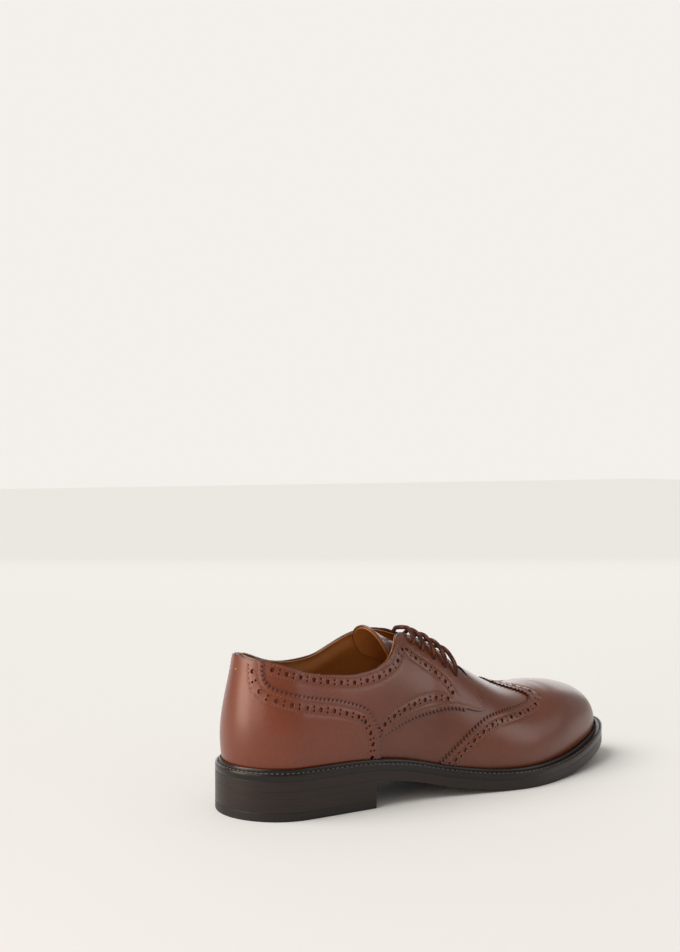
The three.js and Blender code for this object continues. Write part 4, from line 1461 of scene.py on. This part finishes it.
def build_sock():
    low = WELT_TOP + GAP + INSOLE + GAP

    def inset(s, side):
        return margin(s, side) - lining_outer(s) + LINING + 0.2

    sock = sole_slab("sock_lining_hide", 1.0, inset, lambda z: z + low, lambda z: z + low + SOCK,
                     columns=160, bevel=0.2)
    wear(sock, TAN_HIDE)
    settle(sock, "bends", "lining_leather", "sock_lining")


def copy_node(node, name, material, slot):
    """A copy of a hidden CAD layer that crosses the ball of the foot."""
    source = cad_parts[node]
    obj = bpy.data.objects.new(name, source.data.copy())
    bpy.context.collection.objects.link(obj)
    tidy_mesh(obj, angle=30)
    wear(obj, material)
    settle(obj, "bends", slot, node)


def build_hidden_layers():
    copy_node("insole", "insole_layer", NATURAL_HIDE, "insole_leather")
    copy_node("insole_rib", "insole_rib_layer", FIBRE, "fibreboard")
    copy_node("cork_filler", "cork_layer", CORK, "cork")
    finishes = {"toe_puff": FIBRE, "heel_stiffener": FIBRE, "shank": STEEL}
    for number in range(1, 6):
        finishes[f"heel_nail_{number}"] = STEEL
        for side in ("lateral", "medial"):
            finishes[f"eyelet_{side}_{number}"] = BRASS
    for node, material in finishes.items():
        wear(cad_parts[node], material)


def build_strap_pin():
    """The small bright pin that holds the top of the back strap."""
    body, out = skin(0.012, 0.86, LATERAL, UPPER + 0.05)
    bpy.ops.object.select_all(action="DESELECT")
    bpy.ops.mesh.primitive_uv_sphere_add(segments=20, ring_count=10, radius=0.7 * MM)
    pin = bpy.context.active_object
    pin.name = "strap_pin"
    turn = Vector(out.tolist()).to_track_quat("Z", "Y").to_matrix().to_4x4()
    pin.data.transform(Matrix.Diagonal((1, 1, 0.45, 1)))
    pin.data.transform(Matrix.Translation(Vector(in_frame(body))) @ turn)
    pin.matrix_world = Matrix.Identity(4)
    smooth(pin, 60)
    wear(pin, BRASS)
    settle(pin, "root", "eyelet_brass")


# ---- The set -----------------------------------------------------------------------------------
def build_stage():
    """A plain pale floor, in front of a backdrop of its own tone."""
    bpy.ops.object.select_all(action="DESELECT")
    bpy.ops.mesh.primitive_plane_add(size=12)
    floor = bpy.context.active_object
    floor.name = "studio_floor"
    material, _, shader = new_material("matt_paper_floor", Roughness=0.9)
    shader.inputs["Base Color"].default_value = linear("#f6f3ee")
    shader.inputs["Specular IOR Level"].default_value = 0.2
    wear(floor, material)
    build_air()


PAPER = "#f3f0eb"


def build_air():
    """Even light from all round. The backdrop that the camera sees has the floor's own tone."""
    world = bpy.data.worlds.new("studio_air")
    world.use_nodes = True
    tree = world.node_tree
    light = tree.nodes["Background"]
    light.inputs["Color"].default_value = linear("#f7f5f2")
    light.inputs["Strength"].default_value = AIR_STRENGTH
    seen = add_node(tree, "ShaderNodeBackground", {"Color": linear(PAPER), "Strength": 1.0})
    path = add_node(tree, "ShaderNodeLightPath")
    either = add_node(tree, "ShaderNodeMixShader",
                      {0: path.outputs["Is Camera Ray"], 1: light.outputs[0], 2: seen.outputs[0]})
    tree.links.new(either.outputs[0], tree.nodes["World Output"].inputs["Surface"])
    bpy.context.scene.world = world
    bpy.context.scene.view_settings.view_transform = "Standard"


AIR_STRENGTH = 0.46
KEY_STRENGTH = 1.95
KEY_FROM = (-0.73, 0.13, 0.95)
KEY_SPREAD = 50


def aim(lamp, direction):
    lamp.rotation_euler = (-Vector(direction)).to_track_quat("-Z", "Y").to_euler()


def build_key():
    """A very wide, soft key from behind the heel, so that shadows stay pale."""
    data = bpy.data.lights.new("key", "SUN")
    data.energy = KEY_STRENGTH
    data.angle = math.radians(KEY_SPREAD)
    key = bpy.data.objects.new("key", data)
    bpy.context.collection.objects.link(key)
    aim(key, KEY_FROM)


def soft_lamp(name, place_at, target, size, power, colour="#ffffff", only_gloss=False):
    """A soft box. With only_gloss it shows in the wax and leaves the floor's tone alone."""
    data = bpy.data.lights.new(name, "AREA")
    data.shape = "RECTANGLE"
    data.size, data.size_y = size
    data.energy = power
    data.color = linear(colour)[:3]
    lamp = bpy.data.objects.new(name, data)
    bpy.context.collection.objects.link(lamp)
    lamp.location = place_at
    lamp.visible_camera = False
    lamp.visible_diffuse = not only_gloss
    aim(lamp, Vector(place_at) - Vector(target))


def build_lights():
    heel = (-0.12, 0, 0.05)
    build_key()
    soft_lamp("heel_window", (-1.05, 0.12, 0.4), heel, (0.55, 0.9), 8.5, "#ffe9d6", only_gloss=True)
    soft_lamp("heel_fill", (-0.9, -0.35, 0.25), heel, (0.3, 0.3), 0.8, "#ffe6d6")
    soft_lamp("far_wall", (0.75, 1.25, 0.55), (0.06, 0, 0.05), (2.0, 1.0), 9.0, only_gloss=True)
    soft_lamp("side_glow", (0.9, -1.0, 0.5), (0.05, 0, 0.04), (0.9, 0.5), 2.6, only_gloss=True)


CAMERA_BACK = 799.0  # distance from the middle of the sole, in millimetres
CAMERA_DIRECTION = (0.559, 0.829)
CAMERA_HEIGHT = 218.4
CAMERA_YAW = -29.82
CAMERA_PITCH = -1.267
FOCAL_WIDTHS = 1.77956  # focal length in picture widths


def build_camera():
    data = bpy.data.cameras.new("camera")
    data.sensor_fit = "HORIZONTAL"
    data.sensor_width = 36
    data.lens = FOCAL_WIDTHS * data.sensor_width
    camera = bpy.data.objects.new("camera", data)
    bpy.context.collection.objects.link(camera)
    spot = (SOLE_LENGTH / 2 - CAMERA_BACK * CAMERA_DIRECTION[0],
            -CAMERA_BACK * CAMERA_DIRECTION[1], CAMERA_HEIGHT)
    camera.location = in_frame(spot)
    camera.rotation_euler = (math.radians(90 + CAMERA_PITCH), 0, math.radians(CAMERA_YAW))
    bpy.context.scene.camera = camera


build_camera()
build_stage()
build_lights()
build_wing()
build_vamp()
build_counter()
for side_, name_ in ((LATERAL, "lateral"), (MEDIAL, "medial")):
    build_quarter(side_, name_)
    build_quarter_inside(side_, name_)
build_vamp_lining()
build_tongue()
build_lace()
build_outsole()
build_heel()
build_welt()
build_sock()
build_hidden_layers()
build_strap_pin()
